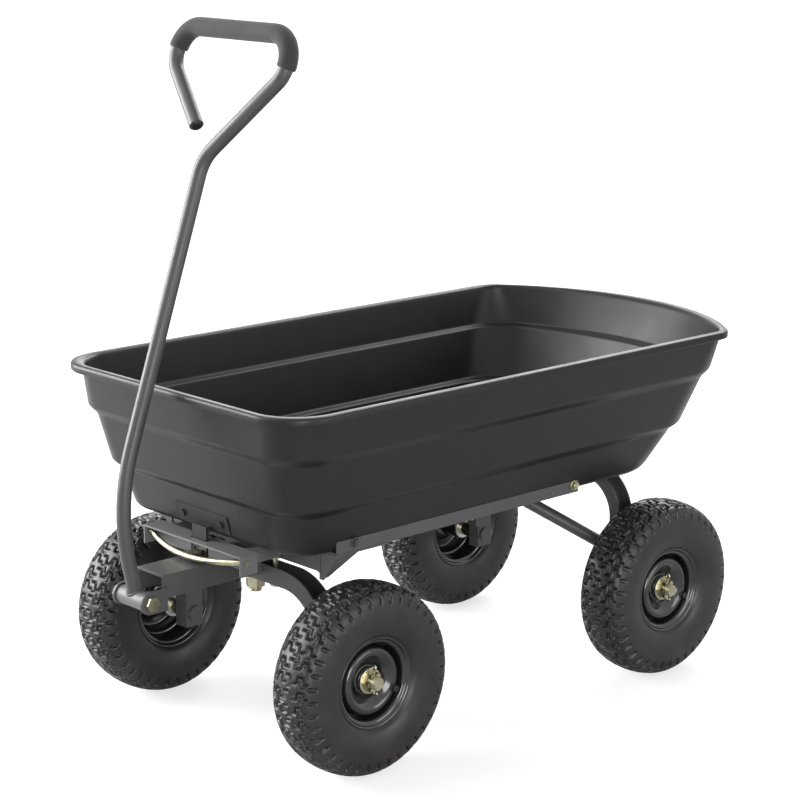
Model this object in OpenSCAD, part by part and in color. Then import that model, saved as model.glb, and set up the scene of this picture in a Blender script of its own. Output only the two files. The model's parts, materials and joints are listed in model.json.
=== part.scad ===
// Tipping dump cart: a moulded tub hinged on a steel chassis with four pneumatic wheels,
// a steered front axle and a pull handle. +X points forwards, +Y to the cart's left, +Z up.
// The origin is on the ground under the middle of the whole cart. All lengths are millimetres.

/* [Tub] */
// Width of the tub over the rolled rim
tub_w = 500; // [440:1:560]
// Rim's front edge, ahead of the middle of the wheelbase
tub_front = 428; // [400:1:446]
// Rim's rear edge, behind the middle of the wheelbase
tub_rear = 488; // [460:1:520]
// Height of the rim above the ground
rim_h = 492; // [470:1:540]
// Height of the tub's underside above the ground
tub_base_h = 291; // [289:1:300]
// Wall thickness of the moulding
tub_wall = 4; // [3:0.1:6]
// Width of the rolled rim outside the wall
lip_w = 12; // [8:0.1:16]
// Depth of the rolled rim
lip_h = 11; // [8:0.1:16]
// Radius of the front corners at the rim
front_corner_r = 66; // [50:1:90]
// Radius of the rear corners at the rim
rear_corner_r = 40; // [30:1:60]
// Radius of the rear corners of the lower tiers
tier_corner_r = 84; // [60:1:100]
// Radius of the bow across the rear rim
rim_bow_r = 360; // [330:1:500]
// Radius of the bow across the rear of the lower tiers
tier_bow_r = 500; // [400:1:700]
// Height of the lowest tier
lower_tier_h = 57.5; // [45:0.5:65]
// Height of the lower sloping ledge
lower_ledge_h = 8.5; // [4:0.5:14]
// Height of the middle tier
middle_tier_h = 65; // [50:0.5:75]
// Height of the upper sloping ledge
upper_ledge_h = 11; // [4:0.5:16]
// Outward run of the lowest tier's front and sides
lower_draft = 15; // [8:0.5:20]
// Width of the lower ledge
lower_ledge_w = 10; // [5:0.5:14]
// Outward run of the middle tier's front and sides
middle_draft = 14; // [8:0.5:20]
// Width of the upper ledge
upper_ledge_w = 9; // [5:0.5:14]
// Outward run of the upper tier's front and sides
upper_draft = 5; // [3:0.5:10]
// Run of the lowest tier's slanted rear wall
rear_lower_run = 50; // [40:1:60]
// Run of the middle tier's slanted rear wall
rear_middle_run = 35; // [25:1:45]
// Run of the upper tier's slanted rear wall
rear_upper_run = 29; // [20:1:40]
// Rounding of the tub's bottom edge
base_round = 8; // [4:0.5:12]

/* [Wheels] */
// Outer diameter of the tyre
tyre_d = 254; // [240:1:256]
// Width of the tyre
tyre_w = 76.8; // [70:0.1:80]
// Height of the tread blocks
tread_h = 5; // [3:0.1:7]
// Number of tread blocks around each shoulder
lug_count = 32; // [24:1:36]
// Diameter of the rim's bead seat
bead_d = 106; // [98:1:112]
// Diameter of the rim flange
flange_d = 122; // [118:1:130]
// Width over the rim flanges
rim_w = 59.2; // [54:0.1:64]
// Thickness of the rim's sheet
rim_sheet = 2; // [1.6:0.1:3]
// Outer diameter of the hub tube
hub_d = 34; // [31:0.5:40]
// Outer diameter of the wheel bearings
bearing_d = 26; // [22:0.5:28]
// Width of a wheel bearing
bearing_w = 11; // [8:0.5:14]
// Length of the hub tube inside the wheel's middle plane
hub_in = 28; // [24:1:30]
// Length of the hub tube outside the wheel's middle plane
hub_out = 14; // [10:1:16]
// Depth of the dish below the outer flange
dish_depth = 22; // [18:1:26]
// Diameter of the valve stem
valve_d = 9; // [7:0.5:11]

/* [Axles] */
// Distance between the front and the rear axle
wheelbase = 564; // [540:1:600]
// Distance between the middle planes of a pair of wheels
track = 424; // [420:1:440]
// Diameter of the stub axles
spindle_d = 16; // [12:0.5:18]
// Width of the bent axle channels
arch_w = 28; // [24:1:36]
// Depth of the rear channel
rear_depth = 19; // [15:0.5:20]
// Sheet thickness of the axle channels
arch_sheet = 2.5; // [2:0.1:4]
// Clear width between the legs of an axle channel
leg_gap = 272; // [260:1:276]
// Height of the rear channel's underside
rear_arch_h = 266; // [262:0.5:267]
// Height of the front channel's underside
front_arch_h = 216; // [212:0.5:218]
// Depth of the front channel
front_depth = 24; // [18:0.5:26]
// Inner bend radius of the rear channel
rear_bend_r = 50; // [35:1:70]
// Inner bend radius of the front channel
front_bend_r = 60; // [40:1:80]
// Length of the legs below the axle's centre
leg_drop = 19; // [14:0.5:26]
// Diameter of the kingpin
kingpin_d = 16; // [12:0.5:18]

/* [Chassis] */
// Width of the backbone tube
beam_w = 50; // [40:1:60]
// Height of the backbone tube
beam_h = 20; // [16:0.5:21]
// Wall of the backbone tube and the brackets
plate_t = 2.5; // [2:0.1:3]
// Reach of the gussets past each end of the front cross member
gusset_reach = 34.7; // [30:0.1:38]
// Width of the front cross member, front to rear
cross_w = 40; // [36:1:50]
// Height of the front cross member
cross_h = 29; // [27:0.5:29]
// Diameter of the brace rods
brace_d = 9; // [7:0.5:10]
// Width of the brace tabs
brace_w = 20; // [16:0.5:24]
// Thickness of the brace tabs
brace_t = 4; // [3:0.1:6]
// Height of the brace's lower bolt above the ground
brace_low_h = 156; // [148:1:170]
// Distance of the brace's upper bolt ahead of the rear axle
brace_reach = 150; // [120:1:180]
// Length of the bed rails
rail_len = 445; // [400:1:460]
// Height of the bed rails' outer lip
rail_h = 17; // [16:0.5:20]
// Width of the bed rails' flange under the tub
rail_w = 26; // [20:0.5:30]
// Thickness of the bed rails
rail_t = 2; // [1.6:0.1:2.2]

/* [Tub hinge] */
// Distance of the hinge axis behind the rear axle
hinge_back = 24; // [24:0.5:27]
// Distance of the hinge axis below the tub
hinge_drop = 14; // [13.5:0.1:16]
// Diameter of the hinge bolts
hinge_d = 8; // [6:0.5:9]
// Half the distance between the two hinges
hinge_y = 70; // [55:1:90]
// Thickness of the tub's hinge tab
tab_t = 5; // [4:0.1:7]
// Radius of the rounded hinge tabs
lug_r = 9; // [8:0.1:9.4]

/* [Latch] */
// Width of the latch bracket
latch_w = 206; // [180:1:230]
// Front of the latch bracket, ahead of the front axle
latch_reach = 107; // [104:1:112]
// Room between the tub's underside and the latch bracket
latch_drop = 7; // [6.5:0.1:8]
// Room between the tongue and the latch bracket
latch_rise = 1; // [0.6:0.1:1.4]
// Diameter of the bail rod
bail_d = 8; // [6:0.5:8]
// Turn of the bail where it leaves the bracket's ears, in degrees
bail_turn = 22; // [19:0.5:24]
// Distance of the bail's axis behind the bracket's front
bail_back = 9; // [8:0.5:10]
// Distance of the bail's axis below the bracket's top
bail_drop = 10; // [9:0.5:11]
// Width of the keeper plate on the tub
keeper_w = 110; // [100:1:130]
// Height of the keeper plate
keeper_h = 26; // [22:0.5:32]
// Thickness of the keeper plate and tab
keeper_t = 3; // [2.5:0.1:4]
// Width of the keeper's tab
keeper_tab_w = 30; // [20:1:40]

/* [Tongue and handle] */
// Distance of the handle's pivot ahead of the front axle
pivot_reach = 196; // [188:1:204]
// Height of the handle's pivot
pivot_h = 225.6; // [222:0.1:230]
// Outer width of the tongue
tongue_w = 55; // [50:1:60]
// Sheet thickness of the tongue
tongue_t = 3; // [2.5:0.1:4]
// Height of the tongue's underside
tongue_base_h = 226; // [222:0.5:230]
// Height of the tongue's sides
tongue_h = 31; // [27:0.5:31]
// Thickness of the tongue's ears
tongue_ear_t = 4; // [3:0.1:6]
// Radius of the rounded ears
ear_r = 15; // [14:0.5:17]
// Diameter of the pivot sleeve
sleeve_d = 25; // [22:0.5:26]
// Diameter of the pivot bolt
pivot_d = 12; // [10:0.5:13]
// Diameter of the handle's tube
tube_d = 19; // [16:0.5:21]
// Length of the handle from the pivot to the bend's corner
lower_len = 129; // [120:1:140]
// Length of the handle from the bend's corner to the loop
upper_len = 431; // [400:1:460]
// Forward tilt of the handle's lower part, in degrees
lower_tilt = 11.5; // [11:0.1:14]
// Backward lean of the handle's upper part, in degrees
upper_lean = 19; // [16:0.1:19]
// Radius of the handle's long bend
long_bend_r = 280; // [200:1:300]
// Radius of the bend into the loop
loop_bend_r = 50; // [40:1:60]
// Radius of the loop's corners
loop_corner_r = 36; // [30:1:40]
// Length of the loop's slanted sides
loop_side = 130; // [110:1:150]
// Length of the loop's straight top
loop_top = 150; // [140:1:164]
// Length of the loop's free arm
loop_arm = 92; // [70:1:96]
// Diameter of the foam grip
grip_d = 25; // [24:0.5:32]
// Length of the grip past each corner
grip_tail = 12; // [6:0.5:24]

/* [Fasteners] */
// Diameter of the small bolts
bolt_d = 6; // [5:0.5:6.5]
// Diameter of the brace and tongue bolts
frame_bolt_d = 8; // [6:0.5:9]
// Diameter of the axle washers
washer_d = 30; // [26:0.5:34]
// Thickness of the axle washers
washer_t = 2.5; // [1.5:0.1:3]
// Width across the corners of the axle nuts
axle_nut_d = 27; // [24:0.5:29]
// Height of the axle nuts
axle_nut_h = 10; // [8:0.5:11]
// Diameter of the cotter pins
cotter_d = 3; // [2:0.1:3.5]

/* [Hidden] */
// Running gap between parts that move on each other
gap = 0.3;
// Radial clearance of a shaft in its bore
fit = 0.05;
// Length by which every cut overruns its solid
over = 1;
$fn = 64;

// Colours of the finishes
POLY = [0.15, 0.15, 0.15];
PAINT = [0.27, 0.27, 0.28];
GLOSS = [0.09, 0.09, 0.09];
RUBBER = [0.12, 0.12, 0.12];
FOAM = [0.24, 0.24, 0.24];
ZINC = [0.78, 0.72, 0.42];
STEEL = [0.62, 0.62, 0.63];

// Places shared by several pieces
axle_h = tyre_d / 2;
front_x = wheelbase / 2;
rear_x = -wheelbase / 2;
half_track = track / 2;
leg_in = leg_gap / 2;
leg_out = leg_in + front_depth;
tongue_top = tongue_base_h + tongue_h;
tub_half = tub_w / 2;
beam_top = rear_arch_h + rear_depth;
cross_top = tub_base_h - rail_t - 2 * gap;
cross_low = cross_top - cross_h;
hinge_x = rear_x - hinge_back;
hinge_h = tub_base_h - hinge_drop;
pivot_x = front_x + pivot_reach;
tube_r = tube_d / 2;

// Handle's long bend: where its straight parts meet the arc, and how far forwards it reaches
long_turn = lower_tilt + upper_lean;
long_tangent = long_bend_r * tan(long_turn / 2);
lower_straight = lower_len - long_tangent;
upper_straight = upper_len - long_tangent;
bend_x = pivot_x + lower_straight * sin(lower_tilt) - long_bend_r * cos(lower_tilt);
front_end = bend_x + long_bend_r + tube_r;

// Shift that puts the middle of the cart's length over the origin
centre_shift = (tub_rear - front_end) / 2;

// Tub's tiers, as insets from the rim's outline and heights
upper_in = lip_w + upper_draft;
upper_step_in = upper_in + upper_ledge_w;
middle_in = upper_step_in + middle_draft;
lower_step_in = middle_in + lower_ledge_w;
base_in = lower_step_in + lower_draft;
upper_back = lip_w + rear_upper_run;
upper_step_back = upper_back + upper_ledge_w;
middle_back = upper_step_back + rear_middle_run;
lower_step_back = middle_back + lower_ledge_w;
base_back = lower_step_back + rear_lower_run;
lower_top = tub_base_h + lower_tier_h;
lower_step_top = lower_top + lower_ledge_h;
middle_top = lower_step_top + middle_tier_h;
upper_step_top = middle_top + upper_ledge_h;
lip_base = rim_h - lip_h;
wall_angle = atan(lower_draft / (lower_tier_h - base_round));
base_half = tub_half - base_in;
base_front = tub_front - base_in;

// Puts a piece into the cart's frame
module placed() {
    translate([centre_shift, 0, 0]) children();
}

// The right-hand copy of a left-hand piece
module right_side() {
    mirror([0, 1, 0]) children();
}

// Both sides at once
module both_sides() {
    children();
    right_side() children();
}

// A cylinder along Y, from y at the start to y at the end
module bar_y(d, from, to) {
    translate([0, from, 0]) rotate([-90, 0, 0]) cylinder(d = d, h = to - from);
}

// A hexagon head or nut along Z
module hexagon(d, h) {
    cylinder(d = d, h = h, $fn = 6);
}

// Points of an arc
function arc(cx, cy, r, from, to, n) =
    [for (i = [0 : n]) let (a = from + (to - from) * i / n) [cx + r * cos(a), cy + r * sin(a)]];

// Left half of the tub's outline in plan, from the front corner round to the middle of the rear.
// The rear is one bow, and a corner arc joins it to the straight side.
CORNER_STEPS = 8;
REAR_STEPS = 7;
BOW_STEPS = 5;
QUARTER = 90;
HALF_TURN = 180;
function half_outline(half, front, rear, front_r, corner_r, bow_r) =
    let (
        bow = asin((half - corner_r) / (bow_r - corner_r)),
        corner_x = -rear + bow_r - (bow_r - corner_r) * cos(bow),
        front_arc = arc(front - front_r, half - front_r, front_r, 0, QUARTER, CORNER_STEPS),
        corner_arc = arc(corner_x, half - corner_r, corner_r, QUARTER, HALF_TURN - bow, REAR_STEPS),
        bow_arc = arc(bow_r - rear, 0, bow_r, HALF_TURN - bow, HALF_TURN, BOW_STEPS)
    )
    concat(front_arc, corner_arc, [for (i = [1 : BOW_STEPS]) bow_arc[i]]);

// One closed ring of the tub: inset from the rim at the sides and front, inset at the rear, height
function tub_ring(inset, back, z, corner_r, bow_r) =
    let (
        half = half_outline(tub_half - inset, tub_front - inset, tub_rear - back,
            front_corner_r - inset / 4, corner_r, bow_r),
        last = len(half) - 1
    )
    concat(
        [for (p = half) [p.x, p.y, z]],
        [for (i = [last - 1 : -1 : 0]) [half[i].x, -half[i].y, z]]
    );

// The tub's wall from the floor inside, over the rolled rim and down to the underside
lip_round = lip_h / 4;
TUB_RINGS = [
    tub_ring(base_in + base_round + tub_wall, base_back + base_round + tub_wall, tub_base_h + tub_wall,
        tier_corner_r - tub_wall, tier_bow_r),
    tub_ring(base_in + tub_wall, base_back + tub_wall, tub_base_h + tub_wall + base_round,
        tier_corner_r - tub_wall, tier_bow_r),
    tub_ring(lower_step_in + tub_wall, lower_step_back + tub_wall, lower_top + tub_wall / 2,
        tier_corner_r - tub_wall, tier_bow_r),
    tub_ring(middle_in + tub_wall, middle_back + tub_wall, lower_step_top + tub_wall / 2,
        tier_corner_r - tub_wall, tier_bow_r),
    tub_ring(upper_step_in + tub_wall, upper_step_back + tub_wall, middle_top + tub_wall / 2,
        tier_corner_r - tub_wall, tier_bow_r),
    tub_ring(upper_in + tub_wall, upper_back + tub_wall, upper_step_top + tub_wall / 2,
        tier_corner_r - tub_wall, tier_bow_r),
    tub_ring(lip_w + tub_wall, lip_w + tub_wall, rim_h - lip_h / 2, rear_corner_r - tub_wall, rim_bow_r),
    tub_ring(lip_w + tub_wall / 2, lip_w + tub_wall / 2, rim_h - lip_round, rear_corner_r, rim_bow_r),
    tub_ring(lip_w, lip_w, rim_h, rear_corner_r, rim_bow_r),
    tub_ring(lip_round, lip_round, rim_h, rear_corner_r, rim_bow_r),
    tub_ring(0, 0, rim_h - lip_round, rear_corner_r, rim_bow_r),
    tub_ring(0, 0, lip_base + lip_round, rear_corner_r, rim_bow_r),
    tub_ring(lip_round, lip_round, lip_base, rear_corner_r, rim_bow_r),
    tub_ring(lip_w - lip_round, lip_w - lip_round, lip_base, rear_corner_r, rim_bow_r),
    tub_ring(lip_w, lip_w, lip_base - lip_round, rear_corner_r, rim_bow_r),
    tub_ring(upper_in, upper_back, upper_step_top, tier_corner_r, tier_bow_r),
    tub_ring(upper_step_in, upper_step_back, middle_top, tier_corner_r, tier_bow_r),
    tub_ring(middle_in, middle_back, lower_step_top, tier_corner_r, tier_bow_r),
    tub_ring(lower_step_in, lower_step_back, lower_top, tier_corner_r, tier_bow_r),
    tub_ring(base_in, base_back, tub_base_h + base_round, tier_corner_r, tier_bow_r),
    tub_ring(base_in + base_round, base_back + base_round, tub_base_h, tier_corner_r, tier_bow_r)
];

// Triangles between neighbouring rings of m points
function band_faces(n, m) = [
    for (i = [0 : n - 2], j = [0 : m - 1], k = [0, 1])
        let (a = i * m + j, b = i * m + (j + 1) % m, c = b + m, d = a + m)
        k == 0 ? [a, b, c] : [a, c, d]
];

module tub_shell() {
    m = len(TUB_RINGS[0]);
    n = len(TUB_RINGS);
    floor_face = [for (j = [m - 1 : -1 : 0]) j];
    under_face = [for (j = [0 : m - 1]) (n - 1) * m + j];
    polyhedron(
        points = [for (ring = TUB_RINGS) each ring],
        faces = concat(band_faces(n, m), [floor_face, under_face])
    );
}

// Bed rails: angles along the tub's lower edges, each held by two bolts through the wall
rail_front = front_x + cross_w / 2;
rail_lip_y = base_half + tan(wall_angle) * (rail_h - rail_t - base_round) + 2 * gap;
rail_out_y = rail_lip_y + rail_t;
rail_low = tub_base_h - rail_t;
rail_bolt_in = bolt_d * 1.7;
rail_bolt_xs = [rail_front - rail_len + rail_bolt_in, rail_front - 3 * rail_bolt_in];
head_d = 1.6 * bolt_d;
rail_bolt_h = tub_base_h + tub_wall + head_d / 2 + gap;
rail_head_y = base_half - base_round - tub_wall - gap;
boss_d = head_d + base_round / 4;
head_h = bolt_d / 2;
nut_h = 0.8 * bolt_d;
nut_d = 1.9 * bolt_d;
small_washer_t = bolt_d / 4;
bolt_bore = bolt_d + 2 * fit;

module rail_bolt_places() {
    for (x = rail_bolt_xs) translate([x, 0, rail_bolt_h]) children();
}

// Keeper: a plate on the tub's front wall with a tab that hangs into the latch bracket
keeper_bolt_y = keeper_w * 0.36;
keeper_bolt_up = keeper_h / 2;
latch_front = front_x + latch_reach;
latch_top = tub_base_h - latch_drop;
latch_h = tongue_top + latch_rise;
bail_x = latch_front - bail_back;
bail_h = latch_top - bail_drop;
tab_x = bail_x - bail_d;
tab_low = bail_h - 1.9 * bail_d;
hook_w = keeper_tab_w * 0.6;

module on_front_wall() {
    translate([base_front, 0, tub_base_h + base_round]) rotate([0, wall_angle, 0]) children();
}

module keeper_bolt_places() {
    for (y = [-keeper_bolt_y, keeper_bolt_y])
        on_front_wall() translate([0, y, keeper_bolt_up]) rotate([0, 90, 0]) children();
}

// Hinge plates under the tub, each with a tab between two cheeks of the chassis
plate_len = 2 * lug_r + hinge_back;
plate_w = 6 * lug_r;
plate_x = hinge_x + lug_r + gap;
hinge_bolt_in = plate_w / 2 - bolt_d;
hinge_plate_t = tub_wall * 0.75;

module hinge_plate_bolt_places() {
    for (s = [-1, 1], t = [-1, 1])
        translate([hinge_x - lug_r / 2, s * hinge_y + t * hinge_bolt_in, 0]) children();
}

module tub() {
    color(POLY) placed() difference() {
        union() {
            tub_shell();
            both_sides() rail_bolt_places() bar_y(boss_d, rail_head_y, rail_lip_y);
        }
        both_sides() rail_bolt_places() bar_y(bolt_bore, rail_head_y - over, rail_lip_y + over);
        keeper_bolt_places() translate([0, 0, -4 * tub_wall]) cylinder(d = bolt_bore, h = 8 * tub_wall);
        hinge_plate_bolt_places() translate([0, 0, tub_base_h - over])
            cylinder(d = bolt_bore, h = tub_wall + 2 * over);
    }
}

module bed_rail() {
    difference() {
        union() {
            translate([rail_front - rail_len, rail_out_y - rail_w, rail_low])
                cube([rail_len, rail_w, rail_t]);
            translate([rail_front - rail_len, rail_lip_y, rail_low]) cube([rail_len, rail_t, rail_h]);
        }
        rail_bolt_places() bar_y(bolt_bore, rail_lip_y - over, rail_out_y + over);
    }
}
module bed_rail_left() {
    color(PAINT) placed() bed_rail();
}
module bed_rail_right() {
    color(PAINT) placed() right_side() bed_rail();
}

// Carriage bolt from inside the tub, with a washer and nut on the rail
module bed_rail_bolts() {
    color(ZINC) placed() both_sides() rail_bolt_places() {
        bar_y(head_d, rail_head_y - head_h, rail_head_y);
        bar_y(bolt_d, rail_head_y - head_h / 2, rail_out_y + small_washer_t + 1.4 * nut_h);
        bar_y(1.2 * nut_d, rail_out_y, rail_out_y + small_washer_t);
        translate([0, rail_out_y + small_washer_t, 0]) rotate([-90, 0, 0]) hexagon(nut_d, nut_h);
    }
}

module tub_hinge() {
    low = tub_base_h - hinge_plate_t;
    difference() {
        union() {
            translate([plate_x - plate_len, hinge_y - plate_w / 2, low])
                cube([plate_len, plate_w, hinge_plate_t]);
            translate([hinge_x - lug_r, hinge_y - tab_t / 2, hinge_h])
                cube([2 * lug_r, tab_t, low - hinge_h + gap]);
            translate([hinge_x, 0, hinge_h]) bar_y(2 * lug_r, hinge_y - tab_t / 2, hinge_y + tab_t / 2);
        }
        translate([hinge_x, 0, hinge_h])
            bar_y(hinge_d + 4 * fit, hinge_y - tab_t / 2 - over, hinge_y + tab_t / 2 + over);
        hinge_plate_bolt_places() translate([0, 0, low - over])
            cylinder(d = bolt_bore, h = hinge_plate_t + 2 * over);
    }
}
module tub_hinge_left() {
    color(PAINT) placed() tub_hinge();
}
module tub_hinge_right() {
    color(PAINT) placed() right_side() tub_hinge();
}

module latch_keeper() {
    ledge_low = tub_base_h + base_round;
    ledge_x = base_front + keeper_t;
    window_low = bail_h - 1.4 * bail_d;
    window_w = hook_w + keeper_t;
    color(PAINT) placed() difference() {
        union() {
            on_front_wall() translate([0, -keeper_w / 2, 0]) cube([keeper_t, keeper_w, keeper_h]);
            translate([ledge_x, -keeper_tab_w / 2, ledge_low])
                cube([tab_x + keeper_t - ledge_x, keeper_tab_w, keeper_t]);
            translate([tab_x, -keeper_tab_w / 2, tab_low])
                cube([keeper_t, keeper_tab_w, ledge_low + keeper_t - tab_low]);
        }
        keeper_bolt_places() translate([0, 0, -over]) cylinder(d = bolt_bore, h = keeper_t + 2 * over);
        translate([tab_x - over, -window_w / 2, window_low])
            cube([keeper_t + 2 * over, window_w, bail_h - bail_d / 3 - window_low]);
    }
}

// Bolts of the keeper and of the hinge plates
module tub_bolts() {
    floor_h = tub_base_h + tub_wall;
    nut_depth = 1.3 * tub_wall + nut_h;
    color(ZINC) placed() {
        keeper_bolt_places() {
            translate([0, 0, -nut_depth]) cylinder(d = bolt_d, h = nut_depth + keeper_t + head_h);
            translate([0, 0, keeper_t]) cylinder(d = head_d, h = head_h);
            translate([0, 0, -nut_depth]) hexagon(nut_d, nut_h);
        }
        hinge_plate_bolt_places() {
            translate([0, 0, floor_h]) cylinder(d = head_d, h = head_h);
            translate([0, 0, tub_base_h - hinge_plate_t - 1.3 * nut_h])
                cylinder(d = bolt_d, h = tub_wall + hinge_plate_t + 1.3 * nut_h + over);
            translate([0, 0, tub_base_h - hinge_plate_t - nut_h]) hexagon(nut_d, nut_h);
        }
    }
}

// Backbone tube between the cross member and the rear axle channel
beam_low = beam_top - beam_h;
beam_rear = rear_x + arch_w / 2;
beam_front = front_x - cross_w / 2;
brace_top_x = rear_x + brace_reach;
brace_top_y = beam_w / 2 - brace_w / 2;
brace_low_y = leg_in + rear_depth / 2;
frame_bore = frame_bolt_d + 2 * fit;
frame_nut_d = 1.9 * frame_bolt_d;
frame_nut_h = 0.8 * frame_bolt_d;

module brace_top_places() {
    translate([brace_top_x, brace_top_y, 0]) children();
}
module brace_low_places() {
    translate([beam_rear, brace_low_y, brace_low_h]) rotate([0, 90, 0]) children();
}

module backbone() {
    color(PAINT) placed() difference() {
        translate([beam_rear, -beam_w / 2, beam_low]) cube([beam_front - beam_rear, beam_w, beam_h]);
        translate([beam_rear - over, plate_t - beam_w / 2, beam_low + plate_t])
            cube([beam_front - beam_rear + 2 * over, beam_w - 2 * plate_t, beam_h - 2 * plate_t]);
        both_sides() brace_top_places() translate([0, 0, beam_low - over])
            cylinder(d = frame_bore, h = plate_t + 2 * over);
    }
}

// Cross member: a folded channel, open below, with the turntable plate across its middle
cross_len = 2 * (rail_out_y - gusset_reach);
table_w = 2 * cross_w;
table_low = tongue_top + gap;
module front_crossmember() {
    color(PAINT) placed() difference() {
        union() {
            difference() {
                translate([front_x - cross_w / 2, -cross_len / 2, cross_low])
                    cube([cross_w, cross_len, cross_h]);
                translate([front_x - cross_w / 2 + plate_t, -cross_len / 2 - over, cross_low - over])
                    cube([cross_w - 2 * plate_t, cross_len + 2 * over, cross_h - plate_t + over]);
            }
            translate([front_x - cross_w / 2, -table_w / 2, table_low])
                cube([cross_w, table_w, cross_low + plate_t - table_low]);
        }
        translate([front_x, 0, table_low - over]) cylinder(d = kingpin_d + 2 * fit, h = cross_h);
    }
}

// Gusset at each end of the cross member: a shelf for the bed rail over a side plate with a sloping edge
gusset_len = 2.2 * cross_w;
gusset_y = cross_len / 2;
shelf_top = rail_low - gap;
module front_gusset() {
    x1 = front_x + cross_w / 2;
    x0 = x1 - gusset_len;
    low = cross_low - 4 * plate_t;
    translate([x0, gusset_y, shelf_top - plate_t]) cube([gusset_len, rail_out_y - gusset_y, plate_t]);
    translate([0, gusset_y + plate_t, 0]) rotate([90, 0, 0]) linear_extrude(plate_t)
        polygon([[x1, shelf_top], [x1, low], [x1 - cross_w / 3, low], [x0, shelf_top - 2 * plate_t],
            [x0, shelf_top]]);
    translate([x1 - plate_t, gusset_y, 0]) rotate([90, 0, 90]) linear_extrude(plate_t)
        polygon([[0, shelf_top], [0, low], [plate_t * 3, low],
            [rail_out_y - gusset_y, shelf_top - 2 * plate_t], [rail_out_y - gusset_y, shelf_top]]);
}
module front_gusset_left() {
    color(PAINT) placed() front_gusset();
}
module front_gusset_right() {
    color(PAINT) placed() right_side() front_gusset();
}

// Side view of an arch: straight legs, round shoulders and a flat top
module arch_outline(half, top, r, low) {
    translate([-half, low]) square([2 * half, top - r - low]);
    intersection() {
        translate([-half, low]) square([2 * half, top - low]);
        union() {
            translate([r - half, low]) square([2 * (half - r), top - low]);
            for (s = [-1, 1]) translate([s * (half - r), top - r]) circle(r = r);
        }
    }
}

// Channel bent into an arch: its web is on the inside and its flanges point outwards
module arch_channel(top, r, depth) {
    low = axle_h - leg_drop;
    rotate([90, 0, 90]) difference() {
        translate([0, 0, -arch_w / 2]) linear_extrude(arch_w) difference() {
            arch_outline(leg_in + depth, top + depth, r + depth, low);
            arch_outline(leg_in, top, r, low - over);
        }
        translate([0, 0, arch_sheet - arch_w / 2]) linear_extrude(arch_w - 2 * arch_sheet) difference() {
            arch_outline(leg_in + depth + over, top + depth + over, r + depth + over, low - over);
            arch_outline(leg_in + arch_sheet, top + arch_sheet, r + arch_sheet, low - 2 * over);
        }
    }
}

// Bores for the stub axles through both legs
module axle_bores() {
    translate([0, 0, axle_h]) bar_y(spindle_d + 2 * fit, -leg_out - over, leg_out + over);
}

// Rear axle channel with two pairs of hinge cheeks on its rear flange
cheek_in = tab_t / 2 + gap;
module rear_arch() {
    cheek_x = rear_x - arch_w / 2;
    color(PAINT) placed() difference() {
        union() {
            translate([rear_x, 0, 0]) arch_channel(rear_arch_h, rear_bend_r, rear_depth);
            for (s = [-1, 1], t = [-1, 1])
                translate([0, s * hinge_y + t * (cheek_in + plate_t / 2) - plate_t / 2, 0]) {
                    translate([hinge_x, 0, hinge_h - lug_r]) cube([cheek_x - hinge_x, plate_t, 2 * lug_r]);
                    translate([hinge_x, 0, hinge_h]) bar_y(2 * lug_r, 0, plate_t);
                }
        }
        translate([rear_x, 0, 0]) axle_bores();
        both_sides() translate([hinge_x, 0, hinge_h])
            bar_y(hinge_d + 2 * fit, hinge_y - cheek_in - plate_t - over,
                hinge_y + cheek_in + plate_t + over);
        both_sides() brace_low_places() translate([0, 0, -arch_sheet - over])
            cylinder(d = frame_bore, h = arch_sheet + 2 * over);
    }
}

// Brace: a rod from the axle leg up to the backbone, with a flat tab at each end
module rear_brace() {
    tab = 1.4 * brace_w;
    low = [beam_rear + brace_t / 2, brace_low_y, brace_low_h + tab / 2];
    high = [brace_top_x - 0.75 * tab, brace_top_y, beam_low - brace_t / 2];
    run = high - low;
    flat = norm([run.x, run.y]);
    difference() {
        union() {
            translate([beam_rear, brace_low_y - rear_depth / 2, brace_low_h - tab / 2])
                cube([brace_t, rear_depth, tab + brace_d / 2]);
            translate([brace_top_x - 0.9 * tab, brace_top_y - brace_w / 2, beam_low - brace_t])
                cube([1.4 * tab, brace_w, brace_t]);
            translate(low) rotate([0, atan2(flat, run.z), atan2(run.y, run.x)])
                cylinder(d = brace_d, h = norm(run));
        }
        brace_top_places() translate([0, 0, beam_low - brace_t - over])
            cylinder(d = frame_bore, h = brace_t + 2 * over);
        brace_low_places() translate([0, 0, -over]) cylinder(d = frame_bore, h = brace_t + 2 * over);
        translate([beam_rear, 0, beam_low]) cube([brace_reach, leg_out, beam_h]);
        translate([rear_x, 0, 0]) cube([arch_w / 2, leg_out, beam_top]);
    }
}
module rear_brace_left() {
    color(PAINT) placed() rear_brace();
}
module rear_brace_right() {
    color(PAINT) placed() right_side() rear_brace();
}

// Bolts of both braces
module brace_bolts() {
    color(ZINC) placed() both_sides() {
        brace_top_places() {
            translate([0, 0, beam_low - brace_t - frame_nut_h]) hexagon(frame_nut_d, frame_nut_h);
            translate([0, 0, beam_low - brace_t])
                cylinder(d = frame_bolt_d, h = brace_t + plate_t + frame_nut_h);
            translate([0, 0, beam_low + plate_t]) hexagon(frame_nut_d, frame_nut_h);
        }
        brace_low_places() {
            translate([0, 0, brace_t]) hexagon(frame_nut_d, frame_nut_h);
            translate([0, 0, -arch_sheet - frame_nut_h])
                cylinder(d = frame_bolt_d, h = arch_sheet + brace_t + frame_nut_h);
            translate([0, 0, -arch_sheet - frame_nut_h]) hexagon(frame_nut_d, frame_nut_h);
        }
    }
}

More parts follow.
